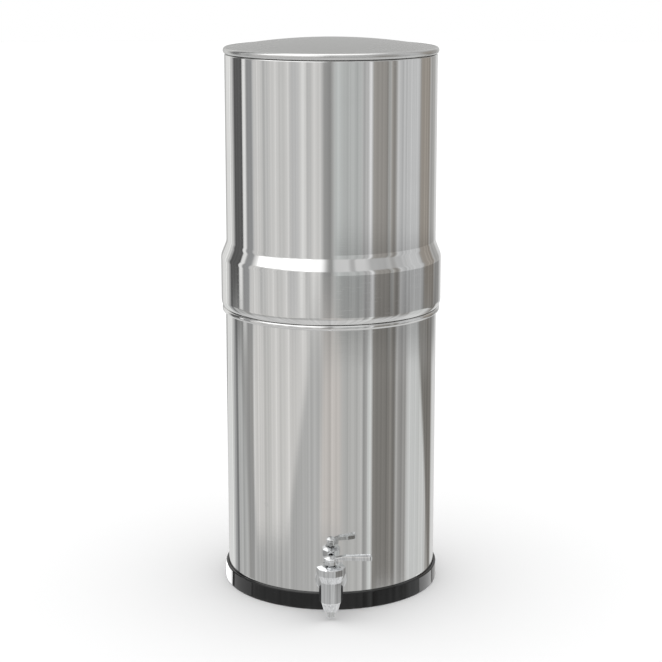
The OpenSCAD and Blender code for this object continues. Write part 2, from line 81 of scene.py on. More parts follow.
# Degrees between two faces from which their edge is drawn sharp
SHARP_FROM = 32
# How far a broad facet keeps its own shading beside its rounded edges, in per cent
FACET_WEIGHT = 80
TEN_SIDES = 10
HALF_SIDE = math.pi / TEN_SIDES
# The way along X to each of the two candles
SIDES = {"left": -1, "right": 1}


def distance(name, description, default):
    """A size in metres that the sidebar shows as a length."""
    return FloatProperty(name=name, description=description, default=default,
                         min=0.0, soft_max=1.0, precision=5, unit="LENGTH", subtype="DISTANCE")


def colour(name, description, default):
    """A linear colour."""
    return FloatVectorProperty(name=name, description=description, default=default,
                               size=3, min=0.0, max=1.0, subtype="COLOR")


def share(name, description, default, most=1.0):
    """A plain factor."""
    return FloatProperty(name=name, description=description, default=default,
                         min=0.0, max=most, subtype="FACTOR")


class FILTER_PG_chambers(bpy.types.PropertyGroup):
    """Sizes of the two steel chambers, their lid and the ring below them."""

    wall_radius: distance("Lower wall", "Outer radius of the lower chamber's wall", 110 * MM)
    sheet: distance("Sheet", "Thickness of the steel sheet", 0.8 * MM)
    floor_height: distance("Floor", "Height of the lower chamber's foot", 3 * MM)
    rim_top: distance("Rim", "Height of the lower chamber's rolled rim", LOWER_TOP.z)
    rim_bend: distance("Rim bend", "Outer radius of the bend at the top of the rolled rim", 2.1 * MM)
    rim_low_bend: distance("Rim low bend", "Outer radius of the bend at the roll's foot", 2.6 * MM)
    rim_roll: distance("Rim roll", "Height of the roll", 5.4 * MM)
    band_radius: distance("Band", "Outer radius of the upper chamber's band", UPPER_TOP.x)
    upper_radius: distance("Upper wall", "Outer radius of the upper wall", 108.75 * MM)
    upper_floor: distance("Upper floor", "Height of the upper chamber's floor", UPPER_LOW.z)
    upper_top: distance("Upper edge", "Height of the upper chamber's hem", UPPER_TOP.z)
    lid_radius: distance("Lid", "Outer radius of the lid's rolled edge", LID_TOP.x)
    lid_top: distance("Lid top", "Height of the lid's dome", LID_TOP.z)
    lid_bead: distance("Lid bead", "Radius of the lid's rolled edge", 3.5 * MM)
    ring_radius: distance("Ring", "Outer radius of the base ring", RING_TOP.x)
    ring_height: distance("Ring height", "Height of the base ring", RING_TOP.z)
    ring_edge: distance("Ring edge", "Radius of the base ring's edges", 1.2 * MM)


class FILTER_PG_tap(bpy.types.PropertyGroup):
    """Sizes of the tap and its lever."""

    barrel_out: distance("Barrel", "Distance of the barrel's axis from the chambers' axis", 140 * MM)
    shank_height: distance("Shank", "Height of the shank", (FLANGE_LOW.z + FLANGE_TOP.z) / 2)
    shank_radius: distance("Shank radius", "Radius of the threaded shank", 8 * MM)
    collar_radius: distance("Collar", "Radius over the collar's corners", 14.7 * MM)
    collar_top: distance("Collar edge", "Height of the collar's outer edge", 56.4 * MM)
    barrel_radius: distance("Barrel radius", "Radius over the barrel's corners", 12.1 * MM)
    taper_height: distance("Taper", "Height of the taper between collar and barrel", 7.4 * MM)
    cone_radius: distance("Cone", "Radius over the corners where the cone starts", 10.5 * MM)
    cone_tip: distance("Cone tip", "Radius of the cone at its lower end", 7.2 * MM)
    hub_radius: distance("Hub", "Radius of the lever's hub", 6.6 * MM)
    hub_brim: distance("Hub brim", "How far the hub's cap stands out past its side", 0.9 * MM)
    hub_height: distance("Hub height", "Height of the hub with the cap's rim", 7 * MM)
    hub_cap: distance("Hub cap", "Height of the cap's rim", 2.5 * MM)
    arm_reach: distance("Arm", "Distance from the hub's axis to the arm's tip", 41.4 * MM)
    arm_tip_width: distance("Arm tip", "Width of the arm at its tip", 10.4 * MM)
    arm_neck_width: distance("Arm neck", "Width of the arm at the hub", 5.6 * MM)


class FILTER_PG_candles(bpy.types.PropertyGroup):
    """Sizes of the two candles and their fittings."""

    radius: distance("Candle", "Radius of the ceramic", (SHELL_TOP.x - SHELL_LOW.x) / 2)
    offset: distance("Offset", "Distance of a candle from the axis", (SHELL_TOP.x + SHELL_LOW.x) / 2)
    wall: distance("Wall", "Wall of the ceramic", 8 * MM)
    base_height: distance("Base", "Height of the plastic base", 13 * MM)
    stem_radius: distance("Stem", "Radius of the threaded stem", 6 * MM)
    stem_length: distance("Stem length", "Length of the stem below its base", 26 * MM)


class FILTER_PG_finishes(bpy.types.PropertyGroup):
    """Colours and wear of every material."""

    steel: colour("Polished steel", "Tint of the polished sheet", (0.80, 0.80, 0.795))
    lid_steel: colour("Satin steel", "Tint of the satin lid", (0.70, 0.70, 0.695))
    chrome: colour("Chrome", "Tint of the plated tap", (0.90, 0.91, 0.92))
    turned_steel: colour("Turned steel", "Tint of nuts, washers and screws", (0.60, 0.60, 0.60))
    ring: colour("Base ring", "Colour of the glossy moulding", (0.0035, 0.0035, 0.0038))
    rubber: colour("Rubber", "Colour of seals and O-rings", (0.022, 0.022, 0.023))
    ceramic: colour("Ceramic", "Colour of the candles", (0.80, 0.765, 0.68))
    carbon: colour("Carbon", "Colour of the candles' cores", (0.018, 0.018, 0.02))
    plastic: colour("White plastic", "Colour of bases and wing nuts", (0.78, 0.78, 0.75))
    wear: share("Wear", "Strength of smudges, scuffs and water spots", 0.6)


class FILTER_PG_studio(bpy.types.PropertyGroup):
    """Camera, floor and light."""

    camera_back: distance("Camera distance", "Distance of the camera in front of the axis", 1.9)
    camera_height: distance("Camera height", "Height of the camera above the floor", 0.69)
    aim_height: distance("Aim", "Height on the axis that the camera looks at", 0.268)
    lens: FloatProperty(name="Lens", description="Focal length", default=100.5, min=20.0,
                        unit="CAMERA")
    floor: colour("Floor", "Colour of the floor", (0.88, 0.88, 0.88))
    roof: share("Overhead light", "Strength of the white roof in reflections", 1.6, most=5.0)
    side_light: share("Side light", "Strength of the bright sheet high up on the left", 2.1, most=20.0)
    fill: share("Fill", "Strength of the even light on matte surfaces", 1.27, most=5.0)


class Signal:
    """One output of a shader node. Arithmetic on it adds Math nodes to its tree."""

    def __init__(self, tree, output=None):
        self.tree = tree
        self.output = output

    def add(self, kind, settings=None, inputs=None, pick=0):
        """Add a node, give it its settings, then the values or links of its sockets."""
        made = self.tree.nodes.new(kind)
        for name, value in (settings or {}).items():
            setattr(made, name, value)
        for name, value in (inputs or {}).items():
            if isinstance(value, Signal):
                self.tree.links.new(value.output, made.inputs[name])
            else:
                made.inputs[name].default_value = value
        return Signal(self.tree, made.outputs[pick] if made.outputs else None)

    def math(self, operation, first, second=0.0):
        """A Math node of two values."""
        return self.add("ShaderNodeMath", {"operation": operation}, {0: first, 1: second})

    def __add__(self, other):
        return self.math("ADD", self, other)

    __radd__ = __add__

    def __sub__(self, other):
        return self.math("SUBTRACT", self, other)

    def __rsub__(self, other):
        return self.math("SUBTRACT", other, self)

    def __mul__(self, other):
        return self.math("MULTIPLY", self, other)

    __rmul__ = __mul__

    def __neg__(self):
        return self * -1.0

    def rise(self, low, high):
        """0 below low, 1 above high, with a soft step between them."""
        return self.add("ShaderNodeMapRange", {"interpolation_type": "SMOOTHSTEP"},
                        {"Value": self, "From Min": low, "From Max": high})

    def within(self, low, high, soft):
        """1 between low and high, 0 outside them, with soft edges."""
        half = soft / 2
        return self.rise(low - half, low + half) * (1.0 - self.rise(high - half, high + half))

    def painted(self, first, second):
        """Colour mix: first where this signal is 0, second where it is 1."""
        ends = [value if isinstance(value, Signal) else (*value, 1.0) for value in (first, second)]
        return self.add("ShaderNodeMix", {"data_type": "RGBA"}, {0: self, 6: ends[0], 7: ends[1]}, pick=2)

    def toned(self, tint, low, high):
        """A tint made darker or lighter, by the factor low where this signal is 0, high where it is 1."""
        return self.painted(tone(tint, low), tone(tint, high))

    def banded(self, repeats, detail, settings=None):
        """Noise that changes only along this signal."""
        return self.add("ShaderNodeTexNoise", {"noise_dimensions": "1D"},
                        {"W": self * repeats, "Scale": 1.0, "Detail": detail, **(settings or {})})

    def spread(self, low, high):
        """This signal, from 0 to 1, as a number from low to high."""
        return self * (high - low) + low


class Finish:
    """A material in the making, with its object's own coordinates."""

    def __init__(self, name):
        self.material = bpy.data.materials.new(name)
        self.material.use_nodes = True
        self.tree = self.material.node_tree
        self.tree.nodes.clear()
        self.start = Signal(self.tree)
        self.place = self.start.add("ShaderNodeTexCoord", pick="Object")

    def axis(self, letter):
        """One coordinate of the place, in metres."""
        return self.start.add("ShaderNodeSeparateXYZ", None, {0: self.place}, pick=letter)

    def laid(self, scale):
        """The place stretched for a pattern, along each axis or along all of them."""
        each = scale if isinstance(scale, tuple) else (scale,) * 3
        return self.start.add("ShaderNodeMapping", None, {"Vector": self.place, "Scale": each})

    def facing_axis(self):
        """1 on walls that face the vertical axis and on floors near it, 0 on the outside."""
        normal = self.start.add("ShaderNodeTexCoord", pick="Normal")
        outward = self.start.add("ShaderNodeVectorMath", {"operation": "DOT_PRODUCT"},
                                 {0: normal, 1: self.laid((1, 1, 0))}, pick="Value")
        upward = self.start.add("ShaderNodeSeparateXYZ", None, {0: normal}, pick="Z")
        near_axis = 1.0 - self.radius().rise(98 * MM, 104 * MM)
        return (-outward).rise(30 * MM, 50 * MM) + upward.rise(0.6, 0.8) * near_axis

    def radius(self):
        """Distance from the vertical axis, in metres."""
        return self.start.add("ShaderNodeVectorMath", {"operation": "LENGTH"},
                              {0: self.laid((1, 1, 0))}, pick="Value")

    def noise(self, scale, detail=2.0, roughness=0.5, warp=0.0):
        """Cloudy pattern; scale gives its repeats in a metre."""
        return self.start.add("ShaderNodeTexNoise", None, {
            "Vector": self.laid(scale), "Scale": 1.0, "Detail": detail, "Roughness": roughness,
            "Distortion": warp})

    def cells(self, scale, pick="Distance"):
        """Distance to scattered points, or their random colour."""
        return self.start.add("ShaderNodeTexVoronoi", None,
                              {"Vector": self.laid(scale), "Scale": 1.0}, pick=pick)

    def spots(self, scale, size, thinning):
        """Round drops with soft edges, where thinning is the share of cells left empty."""
        drop = 1.0 - self.cells(scale).rise(size * 0.6, size)
        lot = self.start.add("ShaderNodeSeparateColor", None, {0: self.cells(scale, "Color")}, pick="Red")
        return drop * lot.rise(thinning, thinning + 0.05)

    def bumped(self, height, depth, under=None):
        """Relief of a height signal, depth metres deep, over another relief."""
        inputs = {"Height": height, "Distance": depth, "Strength": 1.0}
        if under is not None:
            inputs["Normal"] = under
        return self.start.add("ShaderNodeBump", None, inputs)

    def done(self, **sockets):
        """Close the material with the shader's own values and links."""
        named = {name.replace("_", " "): value for name, value in sockets.items()}
        plain = {name: ((*value, 1.0) if isinstance(value, tuple) else value)
                 for name, value in named.items()}
        shader = self.start.add("ShaderNodeBsdfPrincipled", None, plain)
        self.start.add("ShaderNodeOutputMaterial", None, {"Surface": shader})
        return self.material


def tone(tint, factor):
    """A colour made lighter or darker."""
    return tuple(min(1.0, channel * factor) for channel in tint)


def polished_steel(look):
    """Mirror-polished sheet: polishing lines, slow waves, smudges, scuffed rims, satin inside."""
    sheet = Finish("polished_steel")
    inside = sheet.facing_axis()
    height = sheet.axis("Z")
    smudge = sheet.noise((9, 9, 13), 4.0, 0.6, 0.6).rise(0.47, 0.72)
    wiped = sheet.noise((5, 5, 60), 3.0, 0.55).rise(0.5, 0.75)
    hairs = sheet.noise((30, 30, 2600), 2.0, 0.6)
    streak = sheet.noise((48, 48, 1.0), 2.0, 0.5)
    drops = sheet.spots(46, 0.16, 0.72) * height.within(20 * MM, 120 * MM, 20 * MM)
    scuff = sheet.noise((60, 60, 900), 3.0, 0.65).rise(0.56, 0.68)
    rims = height.within(285 * MM, 352 * MM, 10 * MM) + height.within(545 * MM, 560 * MM, 6 * MM)
    tint = streak.rise(0.3, 0.7).toned(look.steel, 0.94, 1.03)
    tint = (smudge * 0.35 * look.wear).painted(tint, tone(look.steel, 0.9))
    rough = (0.035 + hairs * 0.03 + smudge * (0.035 * look.wear) + wiped * (0.025 * look.wear)
             + drops * (0.12 * look.wear) + scuff * rims * (0.12 * look.wear) + inside * 0.3)
    waves = sheet.bumped(sheet.noise((7, 7, 1.6), 1.0, 0.4), 1.2e-4)
    drawn = sheet.bumped(streak, 1.2e-5, waves)
    relief = sheet.bumped(hairs, 3e-6, drawn)
    return sheet.done(Base_Color=tint, Roughness=rough, Normal=relief, Metallic=1.0 - inside * 0.3)


def satin_lid(look):
    """Satin sheet with fine turning lines round the dome's centre."""
    sheet = Finish("satin_lid_steel")
    out = sheet.radius()
    rings = out.banded(2300, 4.0)
    broad = out.banded(170, 2.0)
    smudge = sheet.noise(20, 3.0, 0.5).rise(0.4, 0.8)
    tint = rings.toned(look.lid_steel, 0.93, 1.06)
    tint = (smudge * 0.4 * look.wear).painted(tint, tone(look.lid_steel, 0.86))
    rough = 0.2 + rings * 0.05 + broad * 0.04 + smudge * (0.06 * look.wear)
    relief = sheet.bumped(rings, 4e-6, sheet.bumped(broad, 1.2e-5))
    return sheet.done(Base_Color=tint, Roughness=rough, Normal=relief, Metallic=1.0)


def bright_chrome(look):
    """Plating with upright polishing streaks, dried drops and a trace of lime at the nozzle."""
    plate = Finish("bright_chrome")
    height = plate.axis("Z")
    cloud = plate.noise(120, 3.0, 0.55, 0.5)
    drops = plate.spots(210, 0.2, 0.66)
    lime = (1.0 - height.rise(6 * MM, 13 * MM)) * plate.noise(700, 4.0, 0.65).rise(0.5, 0.62)
    fine = plate.noise(2400, 2.0, 0.5)
    drawn = plate.noise((900, 900, 10), 3.0, 0.65)
    tint = drawn.rise(0.35, 0.65).toned(look.chrome, 0.78, 1.04)
    tint = (cloud.rise(0.5, 0.8) * 0.2).painted(tint, tone(look.chrome, 0.9))
    tint = (lime * 0.7 * look.wear).painted(tint, (0.72, 0.71, 0.67))
    rough = 0.03 + cloud * 0.03 + drops * (0.14 * look.wear) + lime * (0.4 * look.wear)
    relief = plate.bumped(fine, 4e-7, plate.bumped(drawn, 2.5e-6, plate.bumped(cloud, 1e-6)))
    return plate.done(Base_Color=tint, Roughness=rough, Normal=relief, Metallic=1.0)


def turned_steel(look):
    """Nuts, washers and screws: dull steel with tool marks."""
    bar = Finish("turned_steel")
    marks = bar.noise((300, 5200, 300), 3.0, 0.6)
    stain = bar.noise(180, 4.0, 0.6).rise(0.45, 0.75)
    tint = marks.toned(look.turned_steel, 0.85, 1.1)
    tint = (stain * 0.5 * look.wear).painted(tint, tone(look.turned_steel, 0.6))
    rough = 0.26 + marks * 0.12 + stain * 0.12
    return bar.done(Base_Color=tint, Roughness=rough, Normal=bar.bumped(marks, 1.2e-5), Metallic=1.0)


def glossy_ring(look):
    """Glossy black moulding: faint orange peel, dust on the lip, scuffs at the foot."""
    moulding = Finish("glossy_black_moulding")
    height = moulding.axis("Z")
    peel = moulding.noise(260, 2.0, 0.5)
    dust = moulding.noise(1500, 3.0, 0.7).rise(0.55, 0.75) * height.rise(12 * MM, 17.5 * MM)
    rubbed = moulding.noise((140, 140, 500), 4.0, 0.65).rise(0.48, 0.66)
    foot = (1.0 - height.rise(1 * MM, 5 * MM)) * rubbed
    hairs = moulding.noise((40, 40, 4200), 2.0, 0.5).rise(0.62, 0.7)
    tint = (dust * 0.12 * look.wear).painted(look.ring, (0.2, 0.2, 0.2))
    tint = (foot * 0.35 * look.wear).painted(tint, (0.06, 0.06, 0.06))
    rough = 0.035 + peel * 0.02 + foot * (0.3 * look.wear) + dust * 0.1 + hairs * (0.06 * look.wear)
    relief = moulding.bumped(peel, 2.5e-6)
    return moulding.done(Base_Color=tint, Roughness=rough, Normal=relief, IOR=1.5)


def black_rubber(look):
    """Matte seals with a talc bloom."""
    rubber = Finish("black_rubber")
    grain = rubber.noise(3000, 3.0, 0.6)
    bloom = rubber.noise(260, 4.0, 0.6).rise(0.5, 0.8)
    tint = (bloom * 0.35).painted(look.rubber, (0.09, 0.09, 0.088))
    return rubber.done(Base_Color=tint, Roughness=0.6 + grain * 0.25, Normal=rubber.bumped(grain, 3e-5))


def porous_ceramic(look):
    """Unglazed ceramic: fine pores, pits with painted shade in them, and brown stains low down."""
    clay = Finish("porous_ceramic")
    height = clay.axis("Z")
    pores = clay.noise(1500, 4.0, 0.7)
    pits = 1.0 - clay.cells(800).rise(0.12, 0.32)
    cloud = clay.noise((30, 30, 18), 4.0, 0.6, 0.5)
    low = (1.0 - height.rise(290 * MM, 370 * MM)) * cloud.rise(0.35, 0.7)
    tint = pores.toned(look.ceramic, 0.86, 1.08)
    tint = (low * 0.6 * look.wear).painted(tint, (0.5, 0.39, 0.24))
    # Painted shade: the sunk pits are also darkened in colour
    tint = (pits * 0.3).painted(tint, tone(look.ceramic, 0.6))
    relief = clay.bumped(pits, -6e-5, clay.bumped(pores, 9e-5))
    return clay.done(Base_Color=tint, Roughness=0.78 + cloud * 0.14, Normal=relief, IOR=1.45)


def pressed_carbon(look):
    """Pressed carbon grains."""
    block = Finish("pressed_carbon")
    grains = block.cells(1300)
    tint = grains.toned(look.carbon, 2.2, 0.7)
    return block.done(Base_Color=tint, Roughness=0.55 + grains * 0.4, Normal=block.bumped(grains, 1.2e-4))


def white_plastic(look):
    """Moulded white plastic with flow clouds and rubbed patches."""
    moulding = Finish("moulded_white_plastic")
    flow = moulding.noise((70, 70, 40), 4.0, 0.6, 1.0)
    grain = moulding.noise(2200, 2.0, 0.5)
    rubbed = moulding.noise((220, 220, 600), 3.0, 0.6).rise(0.6, 0.75)
    tint = flow.toned(look.plastic, 0.93, 1.03)
    tint = (rubbed * 0.3 * look.wear).painted(tint, (0.6, 0.58, 0.52))
    rough = 0.34 + grain * 0.12 + rubbed * 0.12
    return moulding.done(Base_Color=tint, Roughness=rough, Normal=moulding.bumped(grain, 1.5e-5), IOR=1.49)


FINISHES = {
    "polished_steel": polished_steel, "lid_steel": satin_lid, "tap_chrome": bright_chrome,
    "plain_steel": turned_steel, "base_ring": glossy_ring, "seal_rubber": black_rubber,
    "candle_ceramic": porous_ceramic, "candle_carbon": pressed_carbon, "white_plastic": white_plastic,
}
made_finishes = {}


def finish_for(slot):
    """The material of a slot of the record, made once from the scene's settings."""
    if slot not in made_finishes:
        made_finishes[slot] = FINISHES[slot](bpy.context.scene.filter_finishes)
    return made_finishes[slot]


class Section:
    """Half section of a turned piece: a line drawn in the X-Z plane from point to point."""

    def __init__(self, radius, height):
        self.mesh = bmesh.new()
        self.tip = bmesh.ops.create_vert(self.mesh, co=(radius, 0, height))["vert"][0]
        self.first = self.tip

    def step(self, radius, height):
        """One straight edge."""
        self.tip = bmesh.ops.extrude_vert_indiv(self.mesh, verts=[self.tip])["verts"][0]
        self.tip.co = (radius, 0, height)

    def line(self, radius, height):
        """Straight stretch with a guard point near each end, so that bends keep their own shading."""
        start = self.tip.co.copy()
        end = Vector((radius, 0, height))
        run = (end - start).length
        if run > 4 * GUARD:
            for part in (GUARD / run, 1 - GUARD / run):
                self.step(*start.lerp(end, part).xz)
        self.step(radius, height)

    def bend(self, radius, height, turn, steps=8):
        """Arc about a centre; a positive turn in degrees runs from +X towards +Z."""
        made = bmesh.ops.spin(self.mesh, geom=[self.tip], cent=(radius, 0, height), axis=(0, -1, 0),
                              angle=math.radians(turn), steps=steps, use_duplicate=False)
        self.tip = verts_of(made["geom_last"])[0]

    def drawn(self, *moves):
        """Lines and bends in a row: a pair is a line's end, more is a bend's centre, turn and steps."""
        for move in moves:
            (self.line if len(move) == 2 else self.bend)(*move)
        return self

    def closed(self):
        """Join the last point to the first."""
        bmesh.ops.contextual_create(self.mesh, geom=[self.tip, self.first])
        return self

    def small_part(self, place):
        """Close the section, turn it as a small part and carry it to its place."""
        return moved(self.closed().turned(SMALL_TURN_STEPS), place)

    def turned(self, steps=TURN_STEPS):
        """Turn the section once round the Z axis and close its seam and poles."""
        mesh = self.mesh
        bmesh.ops.spin(mesh, geom=mesh.verts[:] + mesh.edges[:], cent=(0, 0, 0), axis=(0, 0, 1),
                       angle=math.tau, steps=steps, use_merge=True, use_duplicate=False)
        bmesh.ops.remove_doubles(mesh, verts=mesh.verts[:], dist=SAME_POINT)
        bmesh.ops.recalc_face_normals(mesh, faces=mesh.faces[:])
        return mesh


def verts_of(made):
    """The vertices among what an operator made."""
    return [item for item in made if isinstance(item, bmesh.types.BMVert)]


def sheeted(mesh, thickness, pole_up):
    """Give a turned sheet its thickness, behind the face that looks outwards at the pole."""
    pole = min(mesh.faces, key=lambda face: face.calc_center_median().xy.length)
    if (pole.normal.z > 0) != pole_up:
        bmesh.ops.reverse_faces(mesh, faces=mesh.faces[:])
    bmesh.ops.solidify(mesh, geom=mesh.faces[:], thickness=thickness)
    return mesh


def ten_sided(stations):
    """Stack of ten-sided rings from the bottom up, with a flat towards the front, and its top edges."""
    mesh = bmesh.new()
    radius, height = stations[0]
    turn = Matrix.Rotation(HALF_SIDE, 4, "Z")
    bmesh.ops.create_circle(mesh, radius=radius, segments=TEN_SIDES,
                            matrix=Matrix.Translation((0, 0, height)) @ turn)
    edges = mesh.edges[:]
    for next_radius, next_height in stations[1:]:
        made = bmesh.ops.extrude_edge_only(mesh, edges=edges)["geom"]
        verts = verts_of(made)
        edges = [item for item in made if isinstance(item, bmesh.types.BMEdge)
                 and all(vert in verts for vert in item.verts)]
        grow = next_radius / radius
        bmesh.ops.scale(mesh, vec=(grow, grow, 1), verts=verts)
        bmesh.ops.translate(mesh, vec=(0, 0, next_height - height), verts=verts)
        radius, height = next_radius, next_height
    return mesh, edges


def rounded_corners(mesh, corners, offset, segments):
    """Round some corners of a flat outline."""
    bmesh.ops.bevel(mesh, geom=corners, offset=offset, offset_type="OFFSET", segments=segments,
                    profile=0.5, affect="VERTICES", material=-1)


def plate(points, thickness, corners):
    """Flat plate about the X-Z plane, from its outline and the corners of it that are rounded."""
    mesh = bmesh.new()
    verts = [mesh.verts.new((x, -thickness / 2, z)) for x, z in points]
    bmesh.ops.contextual_create(mesh, geom=verts)
    for index, offset in corners:
        rounded_corners(mesh, [verts[index]], offset, 8)
    made = bmesh.ops.extrude_face_region(mesh, geom=mesh.faces[:])["geom"]
    bmesh.ops.translate(mesh, vec=(0, thickness, 0), verts=verts_of(made))
    bmesh.ops.recalc_face_normals(mesh, faces=mesh.faces[:])
    return mesh


def eased_edges(mesh, radius, angle, segments=3):
    """Round every edge whose faces meet at more than the angle."""
    limit = math.radians(angle)
    edges = [edge for edge in mesh.edges if edge.is_manifold and edge.calc_face_angle() > limit]
    bmesh.ops.bevel(mesh, geom=edges, offset=radius, offset_type="OFFSET", segments=segments,
                    profile=0.5, affect="EDGES", clamp_overlap=True, material=-1)
    return mesh


def joined(meshes):
    """Several separate lumps as one mesh."""
    whole = meshes[0]
    for other in meshes[1:]:
        data = bpy.data.meshes.new("lump")
        other.to_mesh(data)
        other.free()
        whole.from_mesh(data)
        bpy.data.meshes.remove(data)
    return whole


def moved(mesh, matrix):
    """The mesh carried to its place."""
    bmesh.ops.transform(mesh, matrix=matrix, verts=mesh.verts[:])
    return mesh


def placed(name, mesh, material):
    """The mesh as an object of the scene, with its material."""
    if not mesh.faces:
        raise RuntimeError(f"{name} has no faces")
    data = bpy.data.meshes.new(name)
    mesh.to_mesh(data)
    mesh.free()
    data.materials.append(material)
    piece = bpy.data.objects.new(name, data)
    bpy.context.scene.collection.objects.link(piece)
    return piece


def fitted(name, mesh, slot, body, nodes, weighted=False):
    """A finished piece: its shading, its material, the body it rides on and the nodes it stands for."""
    piece = placed(name, mesh, finish_for(slot))
    piece.data.polygons.foreach_set("use_smooth", [True] * len(piece.data.polygons))
    piece.data.set_sharp_from_angle(angle=math.radians(SHARP_FROM))
    if weighted:
        settle = piece.modifiers.new("flat facets", "WEIGHTED_NORMAL")
        settle.keep_sharp = True
        settle.weight = FACET_WEIGHT
    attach(piece, body)
    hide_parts(*nodes)


def on_shank(tap):
    """Local Z runs outwards along the shank."""
    return Matrix.Translation((0, 0, tap.shank_height)) @ Matrix.Rotation(math.radians(90), 4, "X")


def on_barrel(tap):
    """Local Z runs up the barrel."""
    return Matrix.Translation((0, -tap.barrel_out, 0))


def threaded(section, crest, root, start, end, pitch):
    """Thread drawn upwards along the section as sharp grooves."""
    for turn in range(int((end - start) / pitch)):
        foot = start + turn * pitch
        section.step(root, foot + 0.25 * pitch)
        section.step(root, foot + 0.35 * pitch)
        section.step(crest, foot + 0.75 * pitch)
        section.step(crest, foot + 0.9 * pitch)
    section.step(crest, end)


class FilterPiece:
    """What the operators of this file share."""

    bl_options = {"REGISTER", "UNDO"}


class FILTER_OT_base_ring(FilterPiece, bpy.types.Operator):
    """Turn the glossy ring that the lower chamber stands in"""

    bl_idname = "water_filter.base_ring"
    bl_label = "Base ring"

    def execute(self, context):
        sizes = context.scene.filter_chambers
        outer, top, edge = sizes.ring_radius, sizes.ring_height, sizes.ring_edge
        foot_edge = 96 * MM
        inner = sizes.wall_radius + GUARD
        lip = 0.4 * MM
        ring = Section(foot_edge, 0).drawn(
            (outer - edge, 0), (outer - edge, edge, 90),
            (outer, top - edge), (outer - edge, top - edge, 90),
            (inner + lip, top), (inner + lip, top - lip, 90, 3),
            (inner, sizes.floor_height), (foot_edge, sizes.floor_height))
        fitted("base_ring_moulding", ring.closed().turned(), "base_ring", "lower", ["base_ring"])
        return {"FINISHED"}


class FILTER_OT_lower_chamber(FilterPiece, bpy.types.Operator):
    """Draw the lower chamber with its raised floor and its rim, rolled out and back to the wall"""

    bl_idname = "water_filter.lower_chamber"
    bl_label = "Lower chamber"

    def execute(self, context):
        sizes = context.scene.filter_chambers
        wall = sizes.wall_radius
        corner = 6 * MM
        rise = 4 * MM
        raised_radius = wall - 40 * MM
        foot_radius = wall - 22 * MM
        rim_gap = 0.35 * MM
        roll = sizes.rim_bend - sizes.sheet
        low_roll = sizes.rim_low_bend - sizes.sheet
        low_turn = math.acos(1 - (2 * roll - rim_gap) / low_roll)
        foot_rise = sizes.rim_low_bend * math.sin(min(low_turn, math.pi / 2))
        low_height = sizes.rim_top - sizes.rim_roll + foot_rise
        floor = sizes.floor_height
        rim_axis = sizes.rim_top - sizes.rim_bend
        outline = Section(0, floor + rise).drawn(
            (raised_radius, floor + rise), (foot_radius, floor),
            (wall - corner, floor), (wall - corner, floor + corner, 90, 12),
            (wall, rim_axis), (wall + roll, rim_axis, -180, 14),
            (wall + 2 * roll, low_height),
            (wall + 2 * roll - low_roll, low_height, -math.degrees(low_turn), 12))
        shell = sheeted(outline.turned(), sizes.sheet, pole_up=False)
        fitted("lower_chamber_shell", shell, "polished_steel", "lower", ["lower_chamber"])
        return {"FINISHED"}


class FILTER_OT_upper_chamber(FilterPiece, bpy.types.Operator):
    """Spin the upper chamber: spigot, tucked band, shoulder, wall and hem"""

    bl_idname = "water_filter.upper_chamber"
    bl_label = "Upper chamber"

    def execute(self, context):
        sizes = context.scene.filter_chambers
        sheet = sizes.sheet
        seat = sizes.rim_top + GUARD
        spigot_gap = 0.7 * MM
        spigot = sizes.wall_radius - sheet - spigot_gap
        corner = 6 * MM
        step = 1 * MM
        tuck_bend = 14 * MM
        tuck_corner = 2 * MM
        tuck = math.radians(28)
        shoulder = math.radians(22)
        shoulder_bend = 13 * MM
        band_height = 50.5 * MM
        hem = 1.3 * MM
        hem_length = 7 * MM
        band = sizes.band_radius
        upper = sizes.upper_radius
        floor, top = sizes.upper_floor, sizes.upper_top
        tuck_reach = tuck_bend - tuck_corner
        corner_axis = band - tuck_bend + tuck_reach * math.cos(tuck)
        tuck_height = seat + tuck_corner + tuck_reach * math.sin(tuck)
        shoulder_foot = seat + band_height
        bends_width = 2 * shoulder_bend * (1 - math.cos(shoulder))
        run = (band - upper - bends_width) / math.sin(shoulder)
        shoulder_height = 2 * shoulder_bend * math.sin(shoulder) + run * math.cos(shoulder)
        slope_start = (band - shoulder_bend * (1 - math.cos(shoulder)),
                       shoulder_foot + shoulder_bend * math.sin(shoulder))
        slope_end = (slope_start[0] - run * math.sin(shoulder), slope_start[1] + run * math.cos(shoulder))
        outline = Section(0, floor).drawn(
            (spigot - corner, floor), (spigot - corner, floor + corner, 90, 10),
            (spigot, seat - step), (spigot + step, seat - step, -90, 6),
            (corner_axis, seat), (corner_axis, seat + tuck_corner, 90 - math.degrees(tuck), 8),
            (band - tuck_bend, tuck_height, math.degrees(tuck), 10),
            (band, shoulder_foot), (band - shoulder_bend, shoulder_foot, math.degrees(shoulder), 10),
            slope_end, (upper + shoulder_bend, shoulder_foot + shoulder_height, -math.degrees(shoulder), 10),
            (upper, top - hem), (upper - hem, top - hem, 180, 12),
            (upper - 2 * hem, top - hem_length))
        shell = sheeted(outline.turned(), sheet, pole_up=False)
        fitted("upper_chamber_shell", shell, "polished_steel", "upper", ["upper_chamber"])
        return {"FINISHED"}


